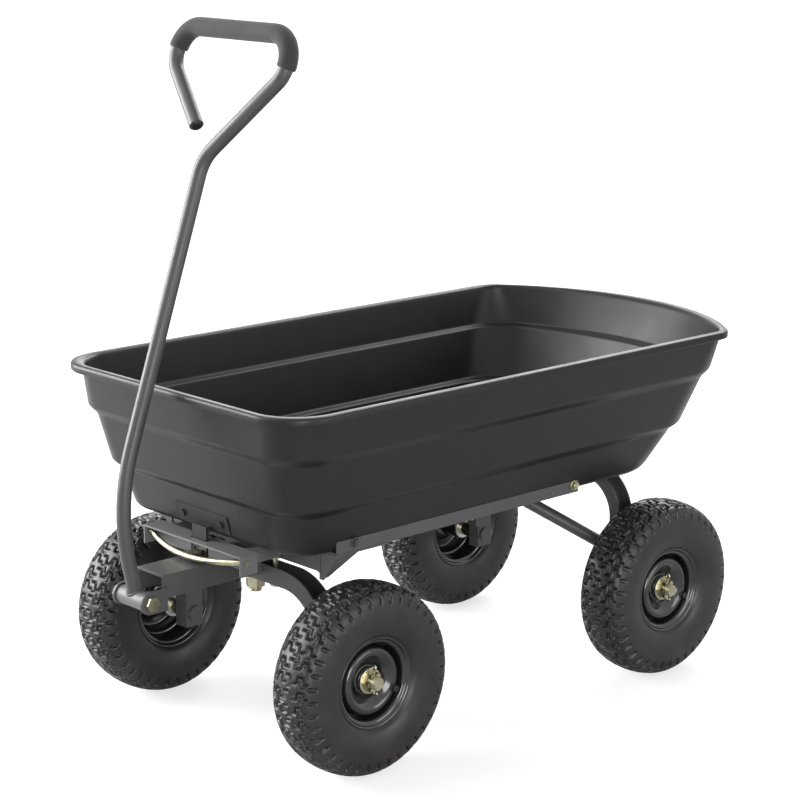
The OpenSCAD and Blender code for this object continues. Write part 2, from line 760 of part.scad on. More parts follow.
// Hinge bolts with their nuts
module hinge_bolts() {
    out = cheek_in + plate_t;
    head = hinge_d * 0.7;
    color(ZINC) placed() both_sides() translate([hinge_x, hinge_y, hinge_h]) {
        bar_y(hinge_d, -out - head, out + head);
        translate([0, out + head, 0]) rotate([90, 0, 0]) hexagon(1.8 * hinge_d, head);
        translate([0, -out, 0]) rotate([90, 0, 0]) hexagon(1.8 * hinge_d, head);
    }
}

// Latch bracket: a shelf over a wall, two end ears for the bail and two arms to the cross member
shelf_len = 0.15 * latch_w;
arm_y = latch_w * 0.36;
arm_t = 1.6 * plate_t;
slot_w = keeper_tab_w + 2 * keeper_t;

// Bail's rod: short bends near the ears, a straight link and one wide arc give its forward bow
bail_half = latch_w / 2 - 3 * plate_t;
bail_bend_r = 1.5 * bail_d;
bail_link = bail_d / 2;
bail_arc_r = (bail_half - bail_link * cos(bail_turn)) / sin(bail_turn) - bail_bend_r;
bail_bow = (bail_arc_r + bail_bend_r) * (1 - cos(bail_turn)) + bail_link * sin(bail_turn);
module latch_bracket() {
    rear = latch_front - shelf_len;
    arm_x = front_x + cross_w / 2;
    color(PAINT) placed() difference() {
        union() {
            translate([rear, -latch_w / 2, latch_top - plate_t]) cube([shelf_len, latch_w, plate_t]);
            translate([tab_x, -latch_w / 2, latch_h + keeper_t])
                cube([plate_t, latch_w, latch_top - latch_h - keeper_t]);
            both_sides() {
                translate([rear + plate_t, latch_w / 2 - plate_t, latch_h])
                    cube([shelf_len - plate_t, plate_t, latch_top - latch_h]);
                translate([arm_x, arm_y, cross_low + plate_t])
                    cube([rear + 4 * plate_t - arm_x, arm_t, latch_top - cross_low - plate_t]);
            }
        }
        translate([tab_x - keeper_t, -slot_w / 2, latch_h])
            cube([3 * keeper_t, slot_w, latch_top - latch_h + over]);
        translate([bail_x, 0, bail_h]) bar_y(bail_d + 4 * fit, -latch_w / 2 - over, latch_w / 2 + over);
    }
}

// Kingpin and its nut, which clamp the cross member over the front axle channel
kingpin_head = 0.6 * kingpin_d;
kingpin_low = front_arch_h - gap - kingpin_d * 1.4;
module kingpin() {
    seat = cross_low + plate_t;
    color(ZINC) placed() translate([front_x, 0, 0]) {
        translate([0, 0, kingpin_low]) cylinder(d = kingpin_d, h = seat - kingpin_low);
        translate([0, 0, seat]) hexagon(1.7 * kingpin_d, kingpin_head);
    }
}
module kingpin_nut() {
    nut = kingpin_d;
    color(ZINC) placed() translate([front_x, 0, front_arch_h - gap - nut]) difference() {
        union() {
            hexagon(1.7 * kingpin_d, nut - washer_t);
            translate([0, 0, nut - washer_t]) cylinder(d = 1.9 * kingpin_d, h = washer_t);
        }
        translate([0, 0, -over]) cylinder(d = kingpin_d + 2 * fit, h = nut + 2 * over);
    }
}

// Stub axle: a collar against the leg, a round head inside it and a plain end for the wheel
hub_seat = half_track - hub_in - rim_sheet - gap;
nut_seat = half_track + hub_out + rim_sheet + gap;
cotter_y = nut_seat + washer_t + axle_nut_h - cotter_d;
spindle_end = cotter_y + 3 * cotter_d;
module spindle() {
    translate([0, 0, axle_h]) difference() {
        union() {
            bar_y(1.3 * spindle_d, leg_in - spindle_d / 4, leg_in);
            bar_y(spindle_d, leg_in - spindle_d / 4, spindle_end);
            bar_y(1.35 * spindle_d, leg_in + arch_sheet, hub_seat);
        }
        translate([0, cotter_y, -spindle_d]) cylinder(d = cotter_d + 2 * fit, h = 2 * spindle_d);
    }
}
module rear_spindle_left() {
    color(STEEL) placed() translate([rear_x, 0, 0]) spindle();
}
module rear_spindle_right() {
    color(STEEL) placed() translate([rear_x, 0, 0]) right_side() spindle();
}
module front_spindle_left() {
    color(STEEL) placed() translate([front_x, 0, 0]) spindle();
}
module front_spindle_right() {
    color(STEEL) placed() translate([front_x, 0, 0]) right_side() spindle();
}

// Washers, castle nuts and cotter pins of one axle
module axle_washers() {
    both_sides() translate([0, 0, axle_h]) difference() {
        bar_y(washer_d, nut_seat, nut_seat + washer_t);
        bar_y(spindle_d + 2 * fit, nut_seat - over, nut_seat + washer_t + over);
    }
}
module axle_nuts() {
    base = nut_seat + washer_t;
    both_sides() translate([0, 0, axle_h]) difference() {
        translate([0, base, 0]) rotate([-90, 0, 0]) hexagon(axle_nut_d, axle_nut_h);
        bar_y(spindle_d + 2 * fit, base - over, base + axle_nut_h + over);
        for (a = [0, 60, 120]) rotate([0, a, 0])
            translate([-cotter_d * 0.6, cotter_y - cotter_d * 0.6, -axle_nut_d])
                cube([1.2 * cotter_d, axle_nut_h, 2 * axle_nut_d]);
    }
}
module cotter_pins() {
    reach = 0.62 * axle_nut_d;
    both_sides() translate([0, cotter_y, axle_h]) {
        translate([0, 0, -reach]) cylinder(d = cotter_d, h = 2 * reach);
        translate([0, 0, reach + cotter_d]) rotate([0, 90, 0]) rotate_extrude()
            translate([cotter_d, 0]) circle(d = cotter_d);
        translate([0, 0, -reach]) rotate([-60, 0, 0]) cylinder(d = cotter_d, h = 2 * cotter_d);
    }
}
module rear_axle_washers() {
    color(ZINC) placed() translate([rear_x, 0, 0]) axle_washers();
}
module rear_axle_nuts() {
    color(ZINC) placed() translate([rear_x, 0, 0]) axle_nuts();
}
module rear_cotter_pins() {
    color(ZINC) placed() translate([rear_x, 0, 0]) cotter_pins();
}
module front_axle_washers() {
    color(ZINC) placed() translate([front_x, 0, 0]) axle_washers();
}
module front_axle_nuts() {
    color(ZINC) placed() translate([front_x, 0, 0]) axle_nuts();
}
module front_cotter_pins() {
    color(ZINC) placed() translate([front_x, 0, 0]) cotter_pins();
}

// Front axle channel, which turns on the kingpin
tongue_bolt_y = tongue_w / 2 + 1.8 * frame_bolt_d;
module front_arch() {
    color(PAINT) placed() translate([front_x, 0, 0]) difference() {
        arch_channel(front_arch_h, front_bend_r, front_depth);
        axle_bores();
        translate([0, 0, front_arch_h - over]) cylinder(d = kingpin_d + 4 * fit, h = arch_sheet + 2 * over);
        for (s = [-1, 1]) translate([0, s * tongue_bolt_y, front_arch_h - over])
            cylinder(d = frame_bore, h = arch_sheet + 2 * over);
    }
}

// Bush that holds the tongue's plate over the axle channel
tongue_plate_low = tongue_top - tongue_t;
module kingpin_bush() {
    base = front_arch_h + arch_sheet;
    color(STEEL) placed() translate([front_x, 0, base]) difference() {
        cylinder(d = 1.35 * kingpin_d, h = tongue_plate_low - base);
        translate([0, 0, -over]) cylinder(d = kingpin_d + 4 * fit, h = tongue_plate_low - base + 2 * over);
    }
}

// Tongue: a folded channel, open below, that butts against the axle channel, with a plate over it
// and two ears for the handle
module tongue_ear() {
    back = 1.8 * ear_r;
    rotate([90, 0, 0]) linear_extrude(tongue_ear_t) difference() {
        union() {
            translate([pivot_reach - back, pivot_h - ear_r]) square([back, 2 * ear_r]);
            translate([pivot_reach, pivot_h]) circle(r = ear_r);
        }
        translate([pivot_reach, pivot_h]) circle(d = pivot_d + 2 * fit);
    }
}
module tongue() {
    end = pivot_reach - 1.5 * ear_r;
    plate_half = tongue_bolt_y + 2 * frame_bolt_d;
    plate_back = 0.7 * arch_w;
    side = tongue_w / 2;
    color(PAINT) placed() translate([front_x, 0, 0]) difference() {
        union() {
            for (y = [-side, side - tongue_t])
                translate([arch_w / 2, y, tongue_base_h]) cube([end - arch_w / 2, tongue_t, tongue_h]);
            translate([-plate_back, -side, tongue_plate_low]) cube([end + plate_back, tongue_w, tongue_t]);
            translate([-plate_back, -plate_half, tongue_plate_low])
                cube([2 * plate_back, 2 * plate_half, tongue_t]);
            for (y = [-side, side + tongue_ear_t]) translate([0, y, 0]) tongue_ear();
        }
        translate([0, 0, tongue_plate_low - over]) cylinder(d = kingpin_d + 4 * fit, h = tongue_t + 2 * over);
        for (s = [-1, 1]) translate([0, s * tongue_bolt_y, tongue_plate_low - over])
            cylinder(d = frame_bore, h = tongue_t + 2 * over);
    }
}
module tongue_bolts() {
    low = front_arch_h - frame_nut_h;
    color(ZINC) placed() translate([front_x, 0, 0]) for (s = [-1, 1]) translate([0, s * tongue_bolt_y, 0]) {
        translate([0, 0, low]) hexagon(frame_nut_d, frame_nut_h);
        translate([0, 0, low]) cylinder(d = frame_bolt_d, h = tongue_top - low);
        translate([0, 0, front_arch_h + arch_sheet]) hexagon(frame_nut_d, frame_nut_h);
        translate([0, 0, tongue_plate_low - frame_nut_h]) hexagon(frame_nut_d, frame_nut_h);
    }
}
module handle_pivot_bolt() {
    head = 0.6 * pivot_d;
    side = tongue_w / 2 + tongue_ear_t;
    color(ZINC) placed() translate([pivot_x, 0, pivot_h]) {
        bar_y(pivot_d, -side - head, side + head);
        translate([0, side + head, 0]) rotate([90, 0, 0]) hexagon(1.7 * pivot_d, head);
        translate([0, -side, 0]) rotate([90, 0, 0]) hexagon(1.7 * pivot_d, head);
    }
}

// Bent tube: each run is a straight length, a turn towards its +Y, the turn's radius and a roll after it.
// Straight lengths lap over the ends of the bends, which are finer by the clearance.
lap = over / 2;
function run_end(turn, r) = [0, sign(turn) * r * (1 - cos(turn)), r * sin(abs(turn))];
module tube_bend(turn, r, d, bore) {
    rotate([0, 0, turn < 0 ? 180 : 0]) translate([0, r, 0]) rotate([90, 0, -90])
        rotate_extrude(angle = abs(turn)) translate([r, 0]) difference() {
            circle(d = d - 2 * fit);
            if (bore > 0) circle(d = bore + 2 * fit);
        }
}
module tube_run(len, before, after, d, bore) {
    h = len + before + after;
    translate([0, 0, -before]) difference() {
        cylinder(d = d, h = h);
        if (bore > 0) translate([0, 0, -over]) cylinder(d = bore, h = h + 2 * over);
    }
}

// Puts a piece where the tube stands after its first n runs
module after_runs(runs, n, i = 0) {
    if (i < n)
        translate([0, 0, runs[i][0]]) translate(run_end(runs[i][1], runs[i][2]))
            rotate([-runs[i][1], 0, 0]) rotate([0, 0, runs[i][3]]) after_runs(runs, n, i + 1) children();
    else children();
}
module tube_runs(runs, d, bore = 0) {
    for (i = [0 : len(runs) - 1]) after_runs(runs, i) {
        tube_run(runs[i][0], i > 0 ? lap : 0, runs[i][1] != 0 ? lap : 0, d, bore);
        if (runs[i][1] != 0) translate([0, 0, runs[i][0]]) tube_bend(runs[i][1], runs[i][2], d, bore);
    }
}

// Handle: the long bend lies in the X-Z plane and the loop stands across it
LOOP_OUT = 45;
LOOP_BACK = -135;
HANDLE_RUNS = [
    [lower_straight, -long_turn, long_bend_r, 90], [upper_straight, LOOP_OUT, loop_bend_r, 0],
    [loop_side, LOOP_BACK, loop_corner_r, 0], [loop_top, LOOP_BACK, loop_corner_r, 0], [loop_arm, 0, 0, 0]
];
GRIP_RUNS = [
    [grip_tail, LOOP_BACK, loop_corner_r, 0], [loop_top, LOOP_BACK, loop_corner_r, 0], [grip_tail, 0, 0, 0]
];
module at_pivot() {
    translate([pivot_x, 0, pivot_h]) rotate([0, lower_tilt, 0]) rotate([0, 0, -90]) children();
}
module handle_tube() {
    color(PAINT) placed() difference() {
        at_pivot() tube_runs(HANDLE_RUNS, tube_d);
        translate([pivot_x, 0, pivot_h]) bar_y(sleeve_d, -tube_d, tube_d);
    }
}
module pivot_sleeve() {
    half = tongue_w / 2 - gap;
    color(PAINT) placed() translate([pivot_x, 0, pivot_h]) difference() {
        bar_y(sleeve_d, -half, half);
        bar_y(pivot_d + 4 * fit, -half - over, half + over);
    }
}
module handle_grip() {
    color(FOAM) placed() at_pivot() after_runs(HANDLE_RUNS, 2) translate([0, 0, loop_side - grip_tail])
        tube_runs(GRIP_RUNS, grip_d, tube_d + 2 * fit);
}
module handle_end_cap() {
    color(GLOSS) placed() at_pivot() after_runs(HANDLE_RUNS, len(HANDLE_RUNS))
        cylinder(d1 = tube_d, d2 = tube_d - bolt_d, h = bolt_d / 2);
}

// Bail: a rod that turns out of the bracket's ears and bows forwards between them
BAIL_DIP = 25;
module bail_place() {
    translate([bail_x, 0, bail_h]) rotate([0, BAIL_DIP, 0]) children();
}
module latch_bail() {
    end = latch_w / 2 + bail_d / 4;
    color(ZINC) placed() bail_place() translate([0, -end, 0]) rotate([-90, 0, 0]) rotate([0, 0, -90])
        tube_runs([
            [end - bail_half, bail_turn, bail_bend_r, 0], [bail_link, -2 * bail_turn, bail_arc_r, 0],
            [bail_link, bail_turn, bail_bend_r, 0], [end - bail_half, 0, 0, 0]
        ], bail_d);
}

// Hook on the bail: a flat nose that swings into the window of the keeper's tab
module latch_hook() {
    rod_x = bail_bow * cos(BAIL_DIP);
    nose_x = tab_x + keeper_t + gap - bail_x;
    color(ZINC) placed() difference() {
        translate([bail_x + nose_x, -hook_w / 2, bail_h - 1.3 * bail_d])
            cube([rod_x - nose_x, hook_w, 0.7 * bail_d]);
        bail_place() translate([bail_bow - bail_arc_r, 0, 0]) rotate_extrude()
            translate([bail_arc_r, 0]) circle(d = bail_d);
    }
}

// Tyre: rings of a rubber section round the axle, with tread blocks staggered from side to side
LUG_STEPS = 3;
bead_r = bead_d / 2;
flange_r = flange_d / 2;
rim_half = rim_w / 2;
tyre_r = tyre_d / 2;
tyre_half = tyre_w / 2;
seat_r = bead_r + 2 * fit;
side_h = tyre_r - flange_r;
// Half section from the bore to the crown: shares of the sidewall's height and of the half width
SIDE_RISE_shares = [0.03, 0.46, 0.78, 0.93, 1];
SIDE_WIDTH_shares = [0.86, 1, 0.95, 0.77, 0.3];
// How much of the tread's height each of those points loses in a groove
GROOVE_shares = [0, 0, 0.5, 1, 0.8];

// One side's points of the ring at step k; sunk is one in a groove and zero on a block
function side_points(s, sunk) = concat(
    [[seat_r, s * (rim_half - 3 * rim_sheet)], [flange_r - rim_sheet / 2, s * (rim_half - rim_sheet - gap)]],
    [for (i = [0 : len(SIDE_RISE_shares) - 1])
        [flange_r + SIDE_RISE_shares[i] * side_h - sunk * GROOVE_shares[i] * tread_h,
            s * SIDE_WIDTH_shares[i] * tyre_half]]
);
function reversed(list) = [for (i = [len(list) - 1 : -1 : 0]) list[i]];
function tyre_ring(k) =
    let (
        a = 360 * k / (LUG_STEPS * lug_count) - 90,
        step = k % LUG_STEPS,
        section = concat(side_points(-1, step == 1 ? 1 : 0), reversed(side_points(1, step == 2 ? 1 : 0)))
    )
    [for (p = section) [p[0] * cos(a), p[1], p[0] * sin(a)]];

module tyre() {
    n = LUG_STEPS * lug_count;
    rings = [for (k = [0 : n - 1]) tyre_ring(k)];
    m = len(rings[0]);
    polyhedron(
        points = [for (ring = rings) each ring],
        faces = [for (k = [0 : n - 1], j = [0 : m - 1], t = [0, 1])
            let (
                a = k * m + j, b = k * m + (j + 1) % m,
                c = ((k + 1) % n) * m + (j + 1) % m, d = ((k + 1) % n) * m + j
            )
            t == 0 ? [a, d, c] : [a, c, b]]
    );
}

// Rim: a stamped barrel with rolled flanges, a dished disc and the hub tube
hub_r = hub_d / 2;
bearing_r = bearing_d / 2;
dish_y = rim_half - dish_depth;
module rim() {
    rotate([-90, 0, 0]) rotate_extrude() {
        translate([bead_r - rim_sheet, -rim_half]) square([rim_sheet, rim_w]);
        for (y = [-rim_half, rim_half - rim_sheet]) {
            translate([bead_r - rim_sheet, y]) square([flange_r - bead_r, rim_sheet]);
            translate([flange_r - rim_sheet, y + rim_sheet / 2]) circle(d = rim_sheet);
        }
        translate([bearing_r, -hub_in]) square([hub_r - bearing_r, hub_in + hub_out]);
        polygon([
            [bead_r - rim_sheet, dish_y + 2 * rim_sheet], [bead_r - 3 * rim_sheet, dish_y],
            [hub_r + 3 * rim_sheet, dish_y - rim_sheet], [hub_r, dish_y - rim_sheet / 2],
            [hub_r - rim_sheet, dish_y - rim_sheet / 2], [hub_r - rim_sheet, dish_y - 2 * rim_sheet],
            [hub_r + 3 * rim_sheet, dish_y - 2 * rim_sheet], [bead_r - 2 * rim_sheet, dish_y - rim_sheet],
            [bead_r - rim_sheet, dish_y]
        ]);
    }
}

// Pair of flanged bushes pressed into the hub's ends
module bearings() {
    flange_t = rim_sheet;
    rotate([-90, 0, 0]) for (end = [[-hub_in, 1], [hub_out, -1]]) translate([0, 0, end[0]])
        mirror([0, 0, end[1] < 0 ? 1 : 0]) rotate_extrude() {
            translate([spindle_d / 2 + fit, 0]) square([bearing_r - fit - spindle_d / 2 - fit, bearing_w]);
            translate([spindle_d / 2 + fit, -flange_t])
                square([hub_r - rim_sheet / 2 - spindle_d / 2 - fit, flange_t]);
        }
}

// Valve: a rubber stem with its cap, standing on the barrel inside the dish
valve_angle = 155;
module valve() {
    reach = bead_r - rim_sheet - hub_r;
    rotate([0, valve_angle, 0]) translate([bead_r - 2 * rim_sheet - valve_d / 2, 0, 0]) {
        bar_y(valve_d, dish_y + rim_sheet, dish_y + 0.35 * reach);
        bar_y(0.7 * valve_d, dish_y + 0.35 * reach, dish_y + 0.6 * reach);
    }
}

// The four wheel places, with each wheel's outer face turned away from the cart
module wheel_place(x, side) {
    translate([x, side * half_track, axle_h]) mirror([0, side < 0 ? 1 : 0, 0]) children();
}
module tyre_front_left() {
    color(RUBBER) placed() wheel_place(front_x, 1) tyre();
}
module tyre_front_right() {
    color(RUBBER) placed() wheel_place(front_x, -1) tyre();
}
module tyre_rear_left() {
    color(RUBBER) placed() wheel_place(rear_x, 1) tyre();
}
module tyre_rear_right() {
    color(RUBBER) placed() wheel_place(rear_x, -1) tyre();
}
module rim_front_left() {
    color(GLOSS) placed() wheel_place(front_x, 1) rim();
}
module rim_front_right() {
    color(GLOSS) placed() wheel_place(front_x, -1) rim();
}
module rim_rear_left() {
    color(GLOSS) placed() wheel_place(rear_x, 1) rim();
}
module rim_rear_right() {
    color(GLOSS) placed() wheel_place(rear_x, -1) rim();
}
module bearings_front_left() {
    color(STEEL) placed() wheel_place(front_x, 1) bearings();
}
module bearings_front_right() {
    color(STEEL) placed() wheel_place(front_x, -1) bearings();
}
module bearings_rear_left() {
    color(STEEL) placed() wheel_place(rear_x, 1) bearings();
}
module bearings_rear_right() {
    color(STEEL) placed() wheel_place(rear_x, -1) bearings();
}
module valve_front_left() {
    color(RUBBER) placed() wheel_place(front_x, 1) valve();
}
module valve_front_right() {
    color(RUBBER) placed() wheel_place(front_x, -1) valve();
}
module valve_rear_left() {
    color(RUBBER) placed() wheel_place(rear_x, 1) valve();
}
module valve_rear_right() {
    color(RUBBER) placed() wheel_place(rear_x, -1) valve();
}

tub();
bed_rail_left();
bed_rail_right();
bed_rail_bolts();
tub_hinge_left();
tub_hinge_right();
latch_keeper();
tub_bolts();
backbone();
front_crossmember();
front_gusset_left();
front_gusset_right();
rear_arch();
rear_brace_left();
rear_brace_right();
brace_bolts();
hinge_bolts();
latch_bracket();
kingpin();
kingpin_nut();
rear_spindle_left();
rear_spindle_right();
rear_axle_washers();
rear_axle_nuts();
rear_cotter_pins();
front_arch();
tongue();
tongue_bolts();
kingpin_bush();
front_spindle_left();
front_spindle_right();
front_axle_washers();
front_axle_nuts();
front_cotter_pins();
handle_pivot_bolt();
handle_tube();
pivot_sleeve();
handle_grip();
handle_end_cap();
latch_bail();
latch_hook();
tyre_front_left();
tyre_front_right();
tyre_rear_left();
tyre_rear_right();
rim_front_left();
rim_front_right();
rim_rear_left();
rim_rear_right();
bearings_front_left();
bearings_front_right();
bearings_rear_left();
bearings_rear_right();
valve_front_left();
valve_front_right();
valve_rear_left();
valve_rear_right();
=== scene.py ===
"""Finished pieces of a tipping dump cart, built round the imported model."""
import json
import math

import bmesh
import bpy
import numpy as np
from mathutils import Matrix, Vector


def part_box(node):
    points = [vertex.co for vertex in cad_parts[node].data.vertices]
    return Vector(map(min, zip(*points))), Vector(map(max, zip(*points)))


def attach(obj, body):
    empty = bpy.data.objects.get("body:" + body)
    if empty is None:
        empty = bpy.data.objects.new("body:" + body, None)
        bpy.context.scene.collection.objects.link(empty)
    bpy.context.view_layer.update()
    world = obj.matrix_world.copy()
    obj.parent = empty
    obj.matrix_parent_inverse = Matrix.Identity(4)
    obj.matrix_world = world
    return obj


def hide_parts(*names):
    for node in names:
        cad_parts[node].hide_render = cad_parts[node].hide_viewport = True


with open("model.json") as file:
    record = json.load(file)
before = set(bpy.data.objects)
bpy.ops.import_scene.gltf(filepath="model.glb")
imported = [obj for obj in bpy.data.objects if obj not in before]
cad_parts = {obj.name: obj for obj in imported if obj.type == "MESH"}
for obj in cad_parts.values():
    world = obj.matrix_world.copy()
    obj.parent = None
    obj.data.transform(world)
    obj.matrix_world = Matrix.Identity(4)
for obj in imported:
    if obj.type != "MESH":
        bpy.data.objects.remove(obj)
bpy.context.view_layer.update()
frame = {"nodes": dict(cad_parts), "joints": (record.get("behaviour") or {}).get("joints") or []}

bl_info = {
    "name": "Tipping dump cart",
    "version": (1, 0, 0),
    "blender": (4, 5, 0),
    "location": "View3D > Sidebar > Cart",
    "description": "Makes the finished pieces of a tipping dump cart",
    "category": "Add Mesh",
}

JOINT_AT = {joint["name"]: Vector(joint["pos_m"]) for joint in frame["joints"]}
WHEELS = ("front_left", "front_right", "rear_left", "rear_right")
MM = 0.001
FULL_TURN = 2 * math.pi
HALF_TURN = math.pi
QUARTER_TURN = math.pi / 2


def length(name, description, default):
    """A length in metres for the property groups."""
    return bpy.props.FloatProperty(name=name, description=description, default=default, unit="LENGTH")


def angle(name, description, degrees):
    """An angle for the property groups."""
    return bpy.props.FloatProperty(
        name=name, description=description, default=math.radians(degrees), subtype="ANGLE"
    )


def tint(name, description, default):
    """A linear colour for the property groups."""
    return bpy.props.FloatVectorProperty(
        name=name, description=description, default=default, subtype="COLOR", size=3, min=0.0, max=1.0
    )


class CartTubSizes(bpy.types.PropertyGroup):
    """Sizes of the moulded tub."""

    wall: length("Wall", "Thickness of the moulding", 0.004)
    lip_width: length("Lip width", "Width of the rolled rim outside the wall", 0.012)
    lip_height: length("Lip height", "Depth of the rolled rim", 0.011)
    front_corner: length("Front corner", "Radius of the front corners at the rim", 0.066)
    rear_corner: length("Rear corner", "Radius of the rear corners at the rim", 0.040)
    tier_corner: length("Tier corner", "Radius of the rear corners of the tiers", 0.084)
    rim_bow: length("Rim bow", "Radius of the bow across the rear rim", 0.360)
    tier_bow: length("Tier bow", "Radius of the bow across the rear of the tiers", 0.500)
    lower_tier: length("Lower tier", "Height of the lowest tier", 0.0575)
    lower_ledge: length("Lower ledge", "Height of the lower sloping ledge", 0.0085)
    middle_tier: length("Middle tier", "Height of the middle tier", 0.065)
    upper_ledge: length("Upper ledge", "Height of the upper sloping ledge", 0.011)
    lower_draft: length("Lower draft", "Outward run of the lowest tier", 0.015)
    lower_ledge_width: length("Lower ledge width", "Width of the lower ledge", 0.010)
    middle_draft: length("Middle draft", "Outward run of the middle tier", 0.014)
    upper_ledge_width: length("Upper ledge width", "Width of the upper ledge", 0.009)
    upper_draft: length("Upper draft", "Outward run of the upper tier", 0.005)
    rear_lower: length("Rear lower run", "Run of the lowest tier's slanted rear", 0.050)
    rear_middle: length("Rear middle run", "Run of the middle tier's slanted rear", 0.035)
    rear_upper: length("Rear upper run", "Run of the upper tier's slanted rear", 0.029)
    edge_round: length("Edge rounding", "Rounding of the ledges' edges", 0.0035)
    inner_round: length("Inner edge rounding", "Rounding of the ledges' edges inside", 0.0022)
    rim_round: length("Rim rounding", "Rounding of the rim's inner edge", 0.0075)
    base_round: length("Base rounding", "Rounding of the bottom edge", 0.014)
    ledge_lift: bpy.props.FloatProperty(
        name="Ledge lift", description="How far the inner ledges are flatter than the outer ones", default=0.62, max=1.0
    )


class CartWheelSizes(bpy.types.PropertyGroup):
    """Sizes of the tyres' tread."""

    tread_depth: length("Tread depth", "Depth of the deepest grooves", 0.0046)
    pitches: bpy.props.IntProperty(
        name="Tread pitches", description="Number of times the tread pattern repeats", default=20, min=8
    )
    groove_slope: length("Groove slope", "Width of a groove's sloping wall", 0.0014)


class CartHandleSizes(bpy.types.PropertyGroup):
    """Sizes of the pull handle."""

    tube: length("Tube", "Diameter of the handle's tube", 0.019)
    grip: length("Grip", "Diameter of the foam grip", 0.025)
    sleeve: length("Sleeve", "Diameter of the sleeve on the pivot", 0.025)
    lower: length("Lower part", "Length from the pivot to the long bend's corner", 0.129)
    upper: length("Upper part", "Length from the long bend's corner to the loop", 0.431)
    tilt: angle("Tilt", "Forward tilt of the lower part", 11.5)
    lean: angle("Lean", "Backward lean of the upper part", 19.0)
    long_bend: length("Long bend", "Radius of the long bend", 0.280)
    loop_bend: length("Loop bend", "Radius of the bend into the loop", 0.050)
    loop_corner: length("Loop corner", "Radius of the loop's corners", 0.036)
    loop_side: length("Loop side", "Length of the loop's slanted side", 0.130)
    loop_top: length("Loop top", "Length of the loop's straight top", 0.150)
    loop_arm: length("Loop arm", "Length of the loop's free arm", 0.092)
    loop_turn: angle("Loop turn", "Turn of the tube into the loop", 45.0)
    corner_turn: angle("Corner turn", "Turn of each of the loop's corners", 135.0)
    grip_start: angle("Grip start", "Turn of the loop's first corner before the grip begins", 34.0)
    grip_end: angle("Grip end", "Turn of the loop's other corner that the grip covers", 82.0)
    grip_round: length("Grip rounding", "Length over which the grip's ends are rounded", 0.004)


class CartFrameSizes(bpy.types.PropertyGroup):
    """Sizes of the braces."""

    brace_tube: length("Brace tube", "Diameter of the brace tubes", 0.0185)
    tube_flat: length("Flattened length", "Length over which a brace tube is flattened", 0.030)
    tab_width: length("Tab width", "Width of the braces' tabs", 0.020)
    tab_length: length("Tab length", "Length of the braces' tabs", 0.028)
    tab_sheet: length("Tab sheet", "Thickness of the braces' tabs", 0.004)
    leg_depth: length("Leg depth", "Depth of the rear axle's channel", 0.019)


class CartFinishes(bpy.types.PropertyGroup):
    """Colours of the finishes."""

    poly: tint("Moulded poly", "Colour of the tub", (0.0125, 0.0123, 0.0127))
    paint: tint("Powder coat", "Colour of the frame and handle", (0.058, 0.059, 0.061))
    gloss: tint("Gloss black", "Colour of the rims", (0.010, 0.010, 0.011))
    rubber: tint("Rubber", "Colour of the tyres", (0.0135, 0.0122, 0.0126))
    foam: tint("Foam", "Colour of the grip", (0.028, 0.028, 0.029))
    # Paler grey: partly the real coat of the latch bracket and the pivot sleeve, partly a painted sheen and highlight
    # on them
    plate: tint("Grey coat and painted sheen", "Colour of the latch bracket and the pivot sleeve", (0.125, 0.126, 0.128))
    zinc: tint("Yellow zinc", "Colour of the plated fasteners", (0.44, 0.41, 0.27))
    zinc_pale: tint("Pale zinc", "Colour of the paler plating", (0.50, 0.48, 0.37))
    zinc_worn: tint("Worn zinc", "Colour of rubbed plating", (0.30, 0.27, 0.17))
    steel: tint("Bright steel", "Colour of the bare axles and bushes", (0.58, 0.58, 0.59))
    cap: tint("Black cap", "Colour of the plastic caps", (0.014, 0.014, 0.015))
    dust: tint("Dust", "Colour of settled dust", (0.20, 0.185, 0.165))


# ---------------------------------------------------------------- shapes

# Points closer than this are one point, in metres: of a made shape, of a copy of a solid, and along a path
ONE_POINT = 1e-6
ONE_SOLID_POINT = 2e-6
ONE_PATH_POINT = 1e-5
# Longest part of a profile's side that one corner's rounding takes
CORNER_SHARE = 0.48
# Angles in degrees: faces of a solid that are one face, edges that are rounded, and edges that stay sharp in shading
SAME_FACE = 0.6
ROUNDED_EDGE = 32.0
SHARP_EDGE = 40.0


def add_object(name, mesh):
    """Links a mesh as a piece at the origin."""
    piece = bpy.data.objects.new(name, mesh)
    bpy.context.scene.collection.objects.link(piece)
    return piece


def closed_mesh(name, verts, faces):
    """A mesh whose doubles are merged and whose faces point outwards."""
    mesh = bpy.data.meshes.new(name)
    mesh.from_pydata([tuple(map(float, v)) for v in verts], [], [list(map(int, f)) for f in faces])
    work = bmesh.new()
    work.from_mesh(mesh)
    bmesh.ops.remove_doubles(work, verts=work.verts, dist=ONE_POINT)
    bmesh.ops.recalc_face_normals(work, faces=work.faces)
    work.to_mesh(mesh)
    work.free()
    mesh.validate()
    return mesh


def joined(name, *meshes):
    """One mesh in place of several."""
    work = bmesh.new()
    for mesh in meshes:
        work.from_mesh(mesh)
        bpy.data.meshes.remove(mesh)
    whole = bpy.data.meshes.new(name)
    work.to_mesh(whole)
    work.free()
    return whole


def around(count):
    """Evenly spaced angles of a full turn."""
    return np.linspace(0.0, FULL_TURN, count, endpoint=False)


def eased(t):
    """Values from 0 to 1 with a soft start and end."""
    return t * t * (3 - 2 * t)


def grid_faces(rows, columns, closed_rows):
    """Quads of a grid whose columns close on themselves, and whose rows may."""
    faces = []
    for i in range(rows if closed_rows else rows - 1):
        for j in range(columns):
            k = (j + 1) % columns
            n = (i + 1) % rows
            faces.append((i * columns + j, i * columns + k, n * columns + k, n * columns + j))
    return faces


def capped_faces(rows, columns):
    """Quads of a tube, and a face over each of its ends."""
    last = (rows - 1) * columns
    return grid_faces(rows, columns, False) + [list(range(columns)), list(range(last, last + columns))]


